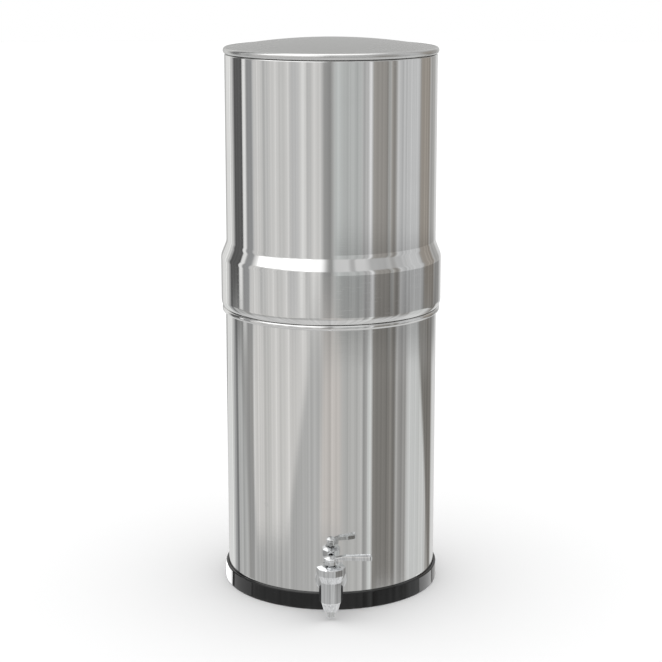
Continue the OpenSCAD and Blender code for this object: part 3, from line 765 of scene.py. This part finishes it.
class FILTER_OT_lid(FilterPiece, bpy.types.Operator):
    """Press the lid: dome, shallow valley, rolled edge and skirt"""

    bl_idname = "water_filter.lid"
    bl_label = "Lid"

    def execute(self, context):
        sizes = context.scene.filter_chambers
        bead = sizes.lid_bead
        seat = sizes.upper_top + GUARD
        valley_bend = 2.5 * MM
        valley = math.radians(25)
        skirt_bend = 0.8 * MM
        skirt_gap = 0.45 * MM
        skirt_length = 9 * MM
        hem_width = 2.6 * MM
        skirt = sizes.upper_radius - hem_width - skirt_gap
        bead_axis = Vector((sizes.lid_radius - bead, seat + bead))
        valley_axis = bead_axis + (bead + valley_bend) * Vector((-math.sin(valley), math.cos(valley)))
        drop = valley_axis.y - sizes.lid_top
        dome = (valley_axis.x ** 2 + drop ** 2 - valley_bend ** 2) / (2 * (valley_bend - drop))
        half = math.asin(valley_axis.x / (dome + valley_bend))
        outline = Section(0, sizes.lid_top).drawn(
            (0, sizes.lid_top - dome, -math.degrees(half), 24),
            (*valley_axis, math.degrees(half + valley), 10),
            (*bead_axis, -180 - math.degrees(valley), 24),
            (skirt + skirt_bend, seat), (skirt + skirt_bend, seat - skirt_bend, 90, 5),
            (skirt, seat - skirt_length))
        shell = sheeted(outline.turned(), sizes.sheet, pole_up=True)
        fitted("lid_pressing", shell, "lid_steel", "lid", ["lid"])
        return {"FINISHED"}


class FILTER_OT_tap_body(FilterPiece, bpy.types.Operator):
    """Build the ten-sided barrel with its collar, cone, shoulder and threaded shank"""

    bl_idname = "water_filter.tap_body"
    bl_label = "Tap body"

    def execute(self, context):
        tap = context.scene.filter_tap
        barrel_foot = 19.2 * MM
        upright = moved(joined([self.barrel(tap, barrel_foot), self.cone(tap, barrel_foot)]), on_barrel(tap))
        fitted("tap_casting", joined([upright, self.shank(tap)]), "tap_chrome", "lower", ["tap_body"],
               weighted=True)
        return {"FINISHED"}

    @staticmethod
    def barrel(tap, foot):
        """Ten-sided barrel with chamfer, taper, collar and cap, and the mouth of the valve's bore."""
        chamfer = 1.6 * MM
        collar_height = 6.9 * MM
        collar_low = tap.collar_top - collar_height
        taper_low = collar_low - tap.taper_height
        cap_radius = 9.5 * MM
        cap_height = 1.6 * MM
        cap_top = tap.collar_top + cap_height
        valve_bore = 5.5 * MM
        bore_depth = 3.6 * MM
        casting, top = ten_sided([
            (tap.cone_radius, foot), (tap.barrel_radius, foot + chamfer),
            (tap.barrel_radius, taper_low), (tap.collar_radius, collar_low),
            (tap.collar_radius, tap.collar_top), (cap_radius, cap_top)])
        bore = bmesh.ops.create_circle(casting, radius=valve_bore, segments=40,
                                       matrix=Matrix.Translation((0, 0, cap_top)))["verts"]
        bore_edges = list({edge for vert in bore for edge in vert.link_edges})
        bmesh.ops.bridge_loops(casting, edges=top + bore_edges)
        made = bmesh.ops.extrude_edge_only(casting, edges=bore_edges)["geom"]
        bore_low = verts_of(made)
        bmesh.ops.translate(casting, vec=(0, 0, -bore_depth), verts=bore_low)
        bmesh.ops.contextual_create(casting, geom=[edge for edge in casting.edges if edge.is_boundary
                                                   and all(vert in bore_low for vert in edge.verts)])
        bmesh.ops.contextual_create(casting, geom=[edge for edge in casting.edges if edge.is_boundary])
        bmesh.ops.recalc_face_normals(casting, faces=casting.faces[:])
        return eased_edges(casting, 0.28 * MM, angle=8)

    @staticmethod
    def cone(tap, top):
        """Round cone under the barrel, with the socket that the nozzle stands in."""
        low = 10.4 * MM
        socket = 3.85 * MM
        socket_depth = 8 * MM
        edge = 2 * MM
        overlap = 0.1 * MM
        top_radius = tap.cone_radius * math.cos(HALF_SIDE)
        lean = math.atan2(top_radius - tap.cone_tip, top - low)
        edge_axis = tap.cone_tip - edge * (1 - math.sin(lean)) / math.cos(lean)
        return Section(socket, low + socket_depth).drawn(
            (socket, low), (edge_axis, low), (edge_axis, low + edge, 90 - math.degrees(lean), 8),
            (top_radius, top + overlap), (socket, top + overlap)).closed().turned(SMALL_TURN_STEPS)

    @staticmethod
    def shank(tap):
        """Threaded shank that goes through the wall, with a shoulder for the flange."""
        bore = 3 * MM
        start = 94 * MM
        chamfer = 0.8 * MM
        thread_start = start + 0.6 * MM
        thread_end = 108.5 * MM
        thread_depth = 0.75 * MM
        pitch = 1.5 * MM
        shoulder = 115.1 * MM
        shoulder_end = shoulder + 2 * MM
        outer = 11 * MM
        edge = 0.3 * MM
        round_edge = 0.6 * MM
        fillet = 0.8 * MM
        crest = tap.shank_radius
        section = Section(bore, start).drawn((crest - chamfer, start))
        threaded(section, crest, crest - thread_depth, thread_start, thread_end, pitch)
        section.drawn(
            (crest, shoulder), (outer - edge, shoulder), (outer, shoulder + edge),
            (outer, shoulder_end - round_edge), (outer - round_edge, shoulder_end - round_edge, 90, 4),
            (crest + fillet, shoulder_end), (crest + fillet, shoulder_end + fillet, -90, 5),
            (crest, tap.barrel_out), (bore, tap.barrel_out))
        return section.small_part(on_shank(tap))


class FILTER_OT_tap_trim(FilterPiece, bpy.types.Operator):
    """Turn the flange against the wall and the nozzle below the cone"""

    bl_idname = "water_filter.tap_trim"
    bl_label = "Flange and nozzle"

    def execute(self, context):
        tap = context.scene.filter_tap
        edge = 1 * MM
        back_edge = 0.2 * MM
        rim = (FLANGE_TOP.x - FLANGE_LOW.x) / 2
        back, front = -FLANGE_TOP.y, -FLANGE_LOW.y
        bore = tap.shank_radius + 0.05 * MM
        disc = Section(bore, back).drawn(
            (rim - back_edge, back), (rim, back + back_edge),
            (rim, front - edge), (rim - edge, front - edge, 90, 8), (bore, front))
        fitted("tap_flange_disc", disc.small_part(on_shank(tap)), "tap_chrome", "lower", ["tap_flange"])
        outer = (NOZZLE_TOP.x - NOZZLE_LOW.x) / 2
        inner = 2.6 * MM
        low, high = NOZZLE_LOW.z, NOZZLE_TOP.z
        lip = (outer - inner) / 2
        tube = Section(inner, high).drawn(
            (inner, low + lip), (inner + lip, low + lip, 180, 10), (outer, high))
        fitted("tap_nozzle_tube", tube.small_part(on_barrel(tap)), "tap_chrome", "lower", ["tap_nozzle"])
        return {"FINISHED"}


class FILTER_OT_tap_lever(FilterPiece, bpy.types.Operator):
    """Build the lever: hub with a domed cap, web, and arm with a raised border"""

    bl_idname = "water_filter.tap_lever"
    bl_label = "Tap lever"

    def execute(self, context):
        tap = context.scene.filter_tap
        above_collar = 2.8 * MM
        hub_low = tap.collar_top + above_collar
        hub_top = hub_low + tap.hub_height
        web_start, web_end, web_low = 4.6 * MM, 11.8 * MM, hub_low + 0.6 * MM
        web = plate([(web_start, hub_top - 1.6 * MM), (web_end, hub_top - 1.3 * MM),
                     (web_end, web_low), (web_start, web_low)], 3.8 * MM, [(2, 2 * MM)])
        eased_edges(web, 0.45 * MM, angle=40)
        lever = joined([self.hub(tap, hub_low, hub_top), self.arm(tap, hub_top), web])
        fitted("tap_lever_casting", moved(lever, on_barrel(tap)), "tap_chrome", "tap_handle",
               ["tap_lever"], weighted=True)
        return {"FINISHED"}

    @staticmethod
    def hub(tap, low, top):
        """Round hub with a cap that stands out past its side and ends in a low dome."""
        foot_edge = 0.5 * MM
        edge = 0.9 * MM
        dome_height = 1.4 * MM
        dome_share = 0.98
        side = tap.hub_radius
        flat = side + tap.hub_brim - edge
        cap_low = top - tap.hub_cap
        dome = (flat ** 2 + dome_height ** 2) / (2 * dome_height)
        dome_angle = math.degrees(math.asin(flat / dome))
        section = Section(0, low).drawn(
            (side - foot_edge, low), (side, low + foot_edge), (side, cap_low - 0.2 * MM))
        section.step(side + 0.1 * MM, cap_low - 0.02 * MM)
        section.drawn(
            (flat, cap_low + edge, 90, 7), (flat + edge, top - edge),
            (flat, top - edge, 90 - dome_angle, 8))
        section.drawn(
            (flat * 0.985, section.tip.co.z + 0.02 * MM),
            (0, top + dome_height - dome, dome_angle * dome_share, 14))
        section.step(0, top + dome_height)
        return section.turned(SMALL_TURN_STEPS)

    @staticmethod
    def arm(tap, hub_top):
        """Flat arm that widens to a rounded tip, with a panel sunk inside its border."""
        start = 2 * MM
        bent_at = 14 * MM
        bent_down = 2.57 * MM
        above_hub = 2.4 * MM
        top = hub_top + above_hub
        tip_corner = 3.62 * MM
        neck = tap.arm_neck_width / 2
        tip = tap.arm_tip_width / 2 + 0.13 * MM
        thick, more_at_tip, neck_thick = 4 * MM, 0.4 * MM, 1.8 * MM
        border = 1.1 * MM
        panel_depth = 0.6 * MM
        panel_start = bent_at + 1 * MM
        panel_neck = 1.75 * MM
        mesh = bmesh.new()
        outline = [mesh.verts.new(point) for point in (
            (start, -neck, top), (tap.arm_reach, -tip, top), (tap.arm_reach, tip, top), (start, neck, top))]
        bmesh.ops.contextual_create(mesh, geom=outline)
        rounded_corners(mesh, outline[1:3], tip_corner, 9)
        bmesh.ops.bisect_plane(mesh, geom=mesh.verts[:] + mesh.edges[:] + mesh.faces[:],
                               plane_co=(bent_at, 0, 0), plane_no=(1, 0, 0))
        for vert in verts_of(bmesh.ops.extrude_face_region(mesh, geom=mesh.faces[:])["geom"]):
            share_out = (vert.co.x - bent_at) / (tap.arm_reach - bent_at)
            vert.co.z -= thick + more_at_tip * share_out if share_out > -SAME_POINT else neck_thick
        for vert in [vert for vert in mesh.verts if vert.co.x < bent_at - SAME_POINT]:
            vert.co.z -= bent_down * (bent_at - vert.co.x) / (bent_at - start)
        bmesh.ops.recalc_face_normals(mesh, faces=mesh.faces[:])
        panel = max((face for face in mesh.faces if face.normal.z > 0.99 and
                     face.calc_center_median().x > bent_at), key=lambda face: face.calc_area())
        bmesh.ops.inset_region(mesh, faces=[panel], thickness=border, use_even_offset=True,
                               use_boundary=True)
        for vert in panel.verts:
            if vert.co.x < panel_start + 1 * MM:
                vert.co.x = panel_start
                vert.co.y = math.copysign(panel_neck, vert.co.y)
        sunk = bmesh.ops.extrude_face_region(mesh, geom=[panel])["geom"]
        bmesh.ops.translate(mesh, vec=(0, 0, -panel_depth), verts=verts_of(sunk))
        bmesh.ops.delete(mesh, geom=[panel], context="FACES_ONLY")
        bmesh.ops.recalc_face_normals(mesh, faces=mesh.faces[:])
        return eased_edges(mesh, 0.22 * MM, angle=30)


class FILTER_OT_candles(FilterPiece, bpy.types.Operator):
    """Turn the two ceramic candles and their plastic bases with threaded stems"""

    bl_idname = "water_filter.candles"
    bl_label = "Candles"

    def execute(self, context):
        sizes = context.scene.filter_candles
        radius = sizes.radius
        foot = SHELL_LOW.z
        shoulder = SHELL_TOP.z - radius
        bore = radius - sizes.wall
        foot_edge = 0.6 * MM
        cup_depth = 9 * MM
        base = foot - (sizes.base_height - cup_depth)
        base_top = base + sizes.base_height
        stem_low = base - sizes.stem_length
        stem_bore = 2.5 * MM
        chamfer = 0.7 * MM
        thread_depth = 0.65 * MM
        pitch = 1.5 * MM
        cup = radius + 1.8 * MM
        cup_chamfer = 3 * MM
        cup_edge = 0.5 * MM
        socket = radius + 0.15 * MM
        for name, side in SIDES.items():
            place = Matrix.Translation((side * sizes.offset, 0, 0))
            shell = Section(0, shoulder + bore).drawn(
                (0, shoulder, -90, 16), (bore, foot), (radius - foot_edge, foot),
                (radius, foot + foot_edge), (radius, shoulder), (0, shoulder, 90, 24))
            fitted(f"candle_ceramic_{name}", moved(shell.turned(SMALL_TURN_STEPS), place),
                   "candle_ceramic", "upper", [f"candle_shell_{name}"])
            stem = Section(stem_bore, stem_low).drawn((sizes.stem_radius - chamfer, stem_low))
            threaded(stem, sizes.stem_radius, sizes.stem_radius - thread_depth, stem_low + 0.5 * MM,
                     base - 1 * MM, pitch)
            stem.drawn(
                (sizes.stem_radius, base), (cup - cup_chamfer, base), (cup, base + cup_chamfer),
                (cup, base_top - cup_edge), (cup - cup_edge, base_top - cup_edge, 90, 4),
                (socket, base_top), (socket, foot), (stem_bore, foot))
            fitted(f"candle_cup_{name}", stem.small_part(place), "white_plastic", "upper",
                   [f"candle_base_{name}"])
        return {"FINISHED"}


class FILTER_OT_wing_nuts(FilterPiece, bpy.types.Operator):
    """Mould the wing nuts under the upper chamber's floor"""

    bl_idname = "water_filter.wing_nuts"
    bl_label = "Wing nuts"

    def execute(self, context):
        candles = context.scene.filter_candles
        top = context.scene.filter_chambers.upper_floor
        bore = candles.stem_radius + 0.05 * MM
        flange, hub = 13 * MM, 9.5 * MM
        flange_low, hub_low = top - 2.2 * MM, top - 10 * MM
        flange_edge, hub_edge, fillet = 0.5 * MM, 0.7 * MM, 0.4 * MM
        wing_start, wing_end, wing_top = 7.2 * MM, 20 * MM, top - 0.4 * MM
        wing_low = top - 15 * MM
        for name, side in SIDES.items():
            middle = Section(bore, top).drawn(
                (flange, top), (flange, flange_low + flange_edge),
                (flange - flange_edge, flange_low + flange_edge, -90, 4),
                (hub + fillet, flange_low), (hub + fillet, flange_low - fillet, 90, 4),
                (hub, hub_low + hub_edge), (hub - hub_edge, hub_low + hub_edge, -90, 5), (bore, hub_low))
            lumps = [middle.closed().turned(SMALL_TURN_STEPS)]
            for half_turn in (0, math.pi):
                wing = plate([(wing_start, wing_top), (12 * MM, wing_top), (wing_end, top - 2.2 * MM),
                              (wing_end, wing_low), (17 * MM, wing_low), (wing_start, hub_low)],
                             3.6 * MM, [(2, 3 * MM), (3, 2.6 * MM)])
                eased_edges(wing, 0.9 * MM, angle=40, segments=4)
                lumps.append(moved(wing, Matrix.Rotation(half_turn, 4, "Z")))
            nut = moved(joined(lumps), Matrix.Translation((side * candles.offset, 0, 0)))
            fitted(f"wing_nut_moulding_{name}", nut, "white_plastic", "upper", [f"wing_nut_{name}"])
        return {"FINISHED"}


class FILTER_OT_small_parts(FilterPiece, bpy.types.Operator):
    """Give the seals, washers, nut, plug and cores that keep their shape their finishes"""

    bl_idname = "water_filter.small_parts"
    bl_label = "Small parts"

    def execute(self, context):
        for row in frame["record"]["subparts"]:
            part = frame["nodes"][row["node"]]
            if part.hide_render:
                continue
            for holder in part.material_slots:
                holder.material = finish_for(row["material_slot"])
        return {"FINISHED"}


# Soft cards and dark flags at the studio's walls, by the bearing in degrees that they cover round
# the filter: 0 is towards the camera, -90 its left. Each row is start, end, softness and its light.
WALL_CARDS = {
    "back card": (-181, 181, 1, (0.53, 0.53, 0.525)),
    "left bright card": (-158, -134, 6, (0.81, 0.81, 0.80)),
    "left grey fall": (-134, -130, 4, (0.44, 0.44, 0.44)),
    "left dark flag": (-130, -111, 3, (0.12, 0.12, 0.12)),
    "left edge card": (-111, -104.5, 2, (0.86, 0.86, 0.855)),
    "left seam": (-104, -93, 5, (0.35, 0.355, 0.36)),
    "broad silk": (-92, -10, 4, (0.72, 0.715, 0.705)),
    "silk seam": (-80, -70, 5, (0.62, 0.62, 0.615)),
    "silk narrow seam": (-55, -52, 3, (0.60, 0.60, 0.59)),
    "silk grey fold": (-44, -34, 6, (0.64, 0.64, 0.64)),
    "silk bright fold": (-33, -28, 3, (0.83, 0.83, 0.82)),
    "silk second seam": (-26, -22, 3, (0.55, 0.55, 0.545)),
    "camera gap": (-8, 3, 5, (0.35, 0.35, 0.345)),
    "grey wall": (3, 34, 5, (0.54, 0.555, 0.55)),
    "wall bright edge": (5, 13, 4, (0.59, 0.61, 0.605)),
    "wall shade": (34, 40, 4, (0.46, 0.46, 0.46)),
    "strip light": (41, 45, 2, (0.82, 0.82, 0.83)),
    "brown panel": (46, 76, 4, (0.35, 0.335, 0.315)),
    "slit": (64, 68, 2, (0.44, 0.44, 0.43)),
    "right card": (76, 112, 8, (0.61, 0.615, 0.62)),
    "brown end": (113, 136, 6, (0.36, 0.33, 0.295)),
    "grey end": (136, 153, 6, (0.42, 0.415, 0.405)),
    "right bright card": (155, 170, 8, (0.70, 0.70, 0.695)),
}
# The same low down, which the lower chamber, the base ring and the tap mirror
FLOOR_CARDS = {
    "back": (-181, 181, 1, (0.72, 0.72, 0.715)),
    "left bright card": (-158, -136, 6, (0.77, 0.78, 0.77)),
    "left grey fall": (-135, -130, 4, (0.42, 0.425, 0.43)),
    "left dark flag": (-130, -123, 4, (0.24, 0.245, 0.245)),
    "left grey card": (-122, -104, 5, (0.50, 0.505, 0.50)),
    "left seam": (-104, -94, 5, (0.40, 0.395, 0.385)),
    "broad silk": (-93, -20, 4, (0.74, 0.73, 0.715)),
    "silk seam": (-76, -69, 5, (0.63, 0.625, 0.61)),
    "silk narrow seam": (-56, -52, 3, (0.65, 0.645, 0.63)),
    "silk shaded end": (-24, -13, 6, (0.52, 0.52, 0.51)),
    "warm middle": (-12, 12, 8, (0.63, 0.60, 0.575)),
    "grey wall": (12, 34, 8, (0.54, 0.54, 0.53)),
    "wall shade": (34, 40, 3, (0.36, 0.36, 0.355)),
    "strip light": (40.5, 44.5, 2, (0.76, 0.78, 0.77)),
    "brown panel": (45.5, 75, 3, (0.25, 0.24, 0.225)),
    "grey corner": (75, 92, 8, (0.37, 0.365, 0.355)),
    "right card": (93, 128, 8, (0.64, 0.65, 0.645)),
    "right bright edge": (111, 122, 6, (0.72, 0.73, 0.72)),
    "grey end": (129, 147, 8, (0.44, 0.43, 0.415)),
}
# Strips of the floor beside the foot that only mirrors show: the bearings of the base ring
# between which it mirrors them, and their light
FLOOR_STRIPS = {
    "left_bright_strip": (-92, -69, 3.6),
    "left_dark_strip": (-69, -65.5, 0.1),
    "left_grey_strip": (-65.5, -48, 0.66),
    "right_bright_strip": (56, 71.5, 1.5),
}
STRIP_REACH = 50 * MM
STRIP_STEPS = 16
# Cards below the horizon that lean: their bearings at the top, then at the foot, softness and light
LEANING_CARDS = {
    "back left shade": (-186, -158, -186, -184, 6, (0.22, 0.22, 0.22)),
    "leaning card left": (-119, -106, -101, -90, 8, (0.38, 0.38, 0.375)),
    "leaning card right": (-17, -7, -52, -14, 8, (0.50, 0.50, 0.495)),
    "leaning brown end": (108, 143, 138, 146, 7, (0.21, 0.20, 0.185)),
}
# Degrees below the horizon between which the wall's cards end, and over which the leaning ones lean
WALL_END = (10.5, 14.5)
LEAN = (10.5, 21)
FLOOR_RADIUS = 9.0
SENSOR_WIDTH = 36.0
VIEW_END = 50.0


def grey(level):
    """A neutral light."""
    return (level,) * 3


def side_by_side(bearing, cards):
    """Cards round the horizon, each over the ones before it."""
    wall = grey(0.5)
    for low, high, soft, light in cards.values():
        wall = bearing.within(low, high, soft).painted(wall, light)
    return wall


def mirrored_room(studio, bearing, height):
    """Colours that mirrors see: cards at the walls and low down, a lit sheet and a bright roof."""
    depth = -height
    low_down = depth.rise(*WALL_END)
    sky = low_down.painted(side_by_side(bearing, WALL_CARDS), side_by_side(bearing, FLOOR_CARDS))
    lean = depth.rise(*LEAN)
    for top_low, top_high, foot_low, foot_high, soft, light in LEANING_CARDS.values():
        card = bearing.within(lean.spread(top_low, foot_low), lean.spread(top_high, foot_high), soft)
        sky = (card * low_down).painted(sky, light)
    foot_shade = depth.rise(18.4, 19.4) * bearing.within(-94, 10, 8)
    sky = foot_shade.painted(sky, (0.49, 0.49, 0.485))
    low_card = depth.rise(20.2, 20.5) * bearing.within(50, 92, 8)
    sky = (low_card * 0.8).painted(sky, (0.52, 0.52, 0.515))
    patches = bearing.banded(0.045, 1.0).rise(0.45, 0.6)
    right_side = height.rise(16, 30) * bearing.within(4, 150, 8)
    sky = right_side.painted(sky, patches.painted(grey(0.50), grey(0.72)))
    sky = height.rise(56, 68).painted(sky, grey(studio.roof))
    sheet = patches.painted(grey(studio.side_light * 0.62), grey(studio.side_light))
    left_side = height.within(22, 62, 9) * bearing.within(-94, -7, 12)
    sky = left_side.painted(sky, sheet)
    return (depth.rise(24, 34) * 0.6).painted(sky, grey(0.8))


def mirrored_strength(start, bearing, height):
    """Folds in the cards, shade where the band looks, and less for what the floor mirrors back."""
    folds = bearing.banded(0.2, 3.0, {"Roughness": 0.6})
    folded = bearing.within(-170, 170, 16) * (1.0 - height.rise(10, 30))
    band_shade = (-height).within(9.8, 13, 1.5) * bearing.within(5, 160, 10)
    bounces = start.add("ShaderNodeLightPath", pick="Glossy Depth")
    matte_bounces = start.add("ShaderNodeLightPath", pick="Diffuse Depth")
    off_the_floor = matte_bounces.rise(0.1, 0.9) * (1.0 - bounces.rise(1.1, 1.9))
    dimmed = (1.0 - band_shade * 0.33) * (1.0 - off_the_floor * 0.8)
    return (1.0 + (folds - 0.5) * folded * 0.9) * dimmed


def studio_world(studio):
    """Soft studio all round for mirrors, even white for matte surfaces, plain white for the camera."""
    world = bpy.data.worlds.new("studio")
    world.use_nodes = True
    tree = world.node_tree
    tree.nodes.clear()
    start = Signal(tree)
    ray = start.add("ShaderNodeTexCoord", pick="Generated")
    east, north, up = (start.add("ShaderNodeSeparateXYZ", None, {0: ray}, pick=letter)
                       for letter in "XYZ")
    bearing = start.math("ARCTAN2", east, -north) * math.degrees(1)
    height = start.math("ARCSINE", up) * math.degrees(1)
    light = start.add("ShaderNodeBackground", None, {"Color": mirrored_room(studio, bearing, height),
                                                     "Strength": mirrored_strength(start, bearing, height)})
    seen = start.add("ShaderNodeLightPath", pick="Is Camera Ray")
    matte = start.add("ShaderNodeLightPath", pick="Is Diffuse Ray")
    white = start.add("ShaderNodeBackground", None,
                      {"Color": (*grey(1), 1), "Strength": 1.0 + matte * (studio.fill - 1.0)})
    both = start.add("ShaderNodeMixShader", None, {0: seen + matte, 1: light, 2: white})
    start.add("ShaderNodeOutputWorld", None, {"Surface": both})
    world.cycles.sampling_method = "NONE"
    return world


def pale_floor(studio):
    """Matte studio floor."""
    paper = Finish("studio_floor")
    cloud = paper.noise(4, 3.0, 0.5)
    grain = paper.noise(900, 2.0, 0.5)
    tint = cloud.painted(tone(studio.floor, 0.985), studio.floor)
    return paper.done(Base_Color=tint, Roughness=0.8 + grain * 0.1, Normal=paper.bumped(grain, 1e-5))


def floor_strip(name, first, last, light, foot):
    """Lit strip just under the floor, which mirrors see through, between two of the ring's bearings."""
    mesh = bmesh.new()
    rows = []
    for step in range(STRIP_STEPS + 1):
        turn = math.radians(first + (last - first) * step / STRIP_STEPS)
        near = Vector((math.sin(turn), -math.cos(turn), 0)) * foot
        away = Vector((math.sin(2 * turn), -math.cos(2 * turn), 0)) * STRIP_REACH
        rows.append([mesh.verts.new(near), mesh.verts.new(near + away)])
    for (near, far), (next_near, next_far) in zip(rows, rows[1:]):
        bmesh.ops.contextual_create(mesh, geom=[near, far, next_far, next_near])
    bmesh.ops.translate(mesh, vec=(0, 0, -GUARD), verts=mesh.verts[:])
    lit = Finish(name).done(Base_Color=grey(0), Emission_Color=grey(1), Emission_Strength=light)
    strip = placed(name, mesh, lit)
    strip.visible_camera = strip.visible_diffuse = strip.visible_shadow = False
    return strip


class FILTER_OT_studio(FilterPiece, bpy.types.Operator):
    """Set up the floor, the soft light and the camera"""

    bl_idname = "water_filter.studio"
    bl_label = "Studio"

    def execute(self, context):
        studio = context.scene.filter_studio
        scene = context.scene
        mesh = bmesh.new()
        bmesh.ops.create_circle(mesh, cap_ends=True, radius=FLOOR_RADIUS, segments=SMALL_TURN_STEPS)
        floor = placed("studio_floor", mesh, pale_floor(studio))
        floor.visible_glossy = False
        foot = scene.filter_chambers.ring_radius + GUARD
        for name, (first, last, light) in FLOOR_STRIPS.items():
            strip = floor_strip(name, first, last, light, foot)
        scene.world = studio_world(studio)
        lens = bpy.data.cameras.new("camera")
        lens.lens = studio.lens
        lens.sensor_width = SENSOR_WIDTH
        lens.clip_end = VIEW_END
        camera = bpy.data.objects.new("camera", lens)
        camera.location = (0, -studio.camera_back, studio.camera_height)
        aim = Vector((0, 0, studio.aim_height)) - camera.location
        camera.rotation_euler = aim.to_track_quat("-Z", "Y").to_euler()
        scene.collection.objects.link(camera)
        scene.camera = camera
        scene.view_settings.view_transform = "Standard"
        return {"FINISHED"}


OPERATORS = (
    FILTER_OT_base_ring, FILTER_OT_lower_chamber, FILTER_OT_upper_chamber, FILTER_OT_lid,
    FILTER_OT_tap_body, FILTER_OT_tap_trim, FILTER_OT_tap_lever, FILTER_OT_candles,
    FILTER_OT_wing_nuts, FILTER_OT_small_parts, FILTER_OT_studio,
)
SETTINGS = {
    "filter_chambers": FILTER_PG_chambers, "filter_tap": FILTER_PG_tap,
    "filter_candles": FILTER_PG_candles, "filter_finishes": FILTER_PG_finishes,
    "filter_studio": FILTER_PG_studio,
}


class FILTER_PT_sidebar(bpy.types.Panel):
    """Lists the pieces of the filter and their settings"""

    bl_label = "Water filter"
    bl_idname = "FILTER_PT_sidebar"
    bl_space_type = "VIEW_3D"
    bl_region_type = "UI"
    bl_category = "Water filter"

    def draw(self, context):
        for operator in OPERATORS:
            self.layout.operator(operator.bl_idname)
        for group_name in SETTINGS:
            group = getattr(context.scene, group_name)
            box = self.layout.box()
            for name in group.__annotations__:
                box.prop(group, name)


def register():
    """Register the classes and hang the settings on the scene."""
    for group_name, group in SETTINGS.items():
        bpy.utils.register_class(group)
        setattr(bpy.types.Scene, group_name, PointerProperty(type=group))
    for operator in (*OPERATORS, FILTER_PT_sidebar):
        bpy.utils.register_class(operator)


def unregister():
    """Undo register."""
    for operator in (FILTER_PT_sidebar, *reversed(OPERATORS)):
        bpy.utils.unregister_class(operator)
    for group_name, group in reversed(SETTINGS.items()):
        delattr(bpy.types.Scene, group_name)
        bpy.utils.unregister_class(group)


def plain(box):
    """A box as plain lists of numbers."""
    return [[float(number) for number in corner] for corner in box]


def main():
    """Build every piece in order."""
    register()
    for operator in OPERATORS:
        group, name = operator.bl_idname.split(".")
        getattr(getattr(bpy.ops, group), name)()


if __name__ == "__main__":
    main()
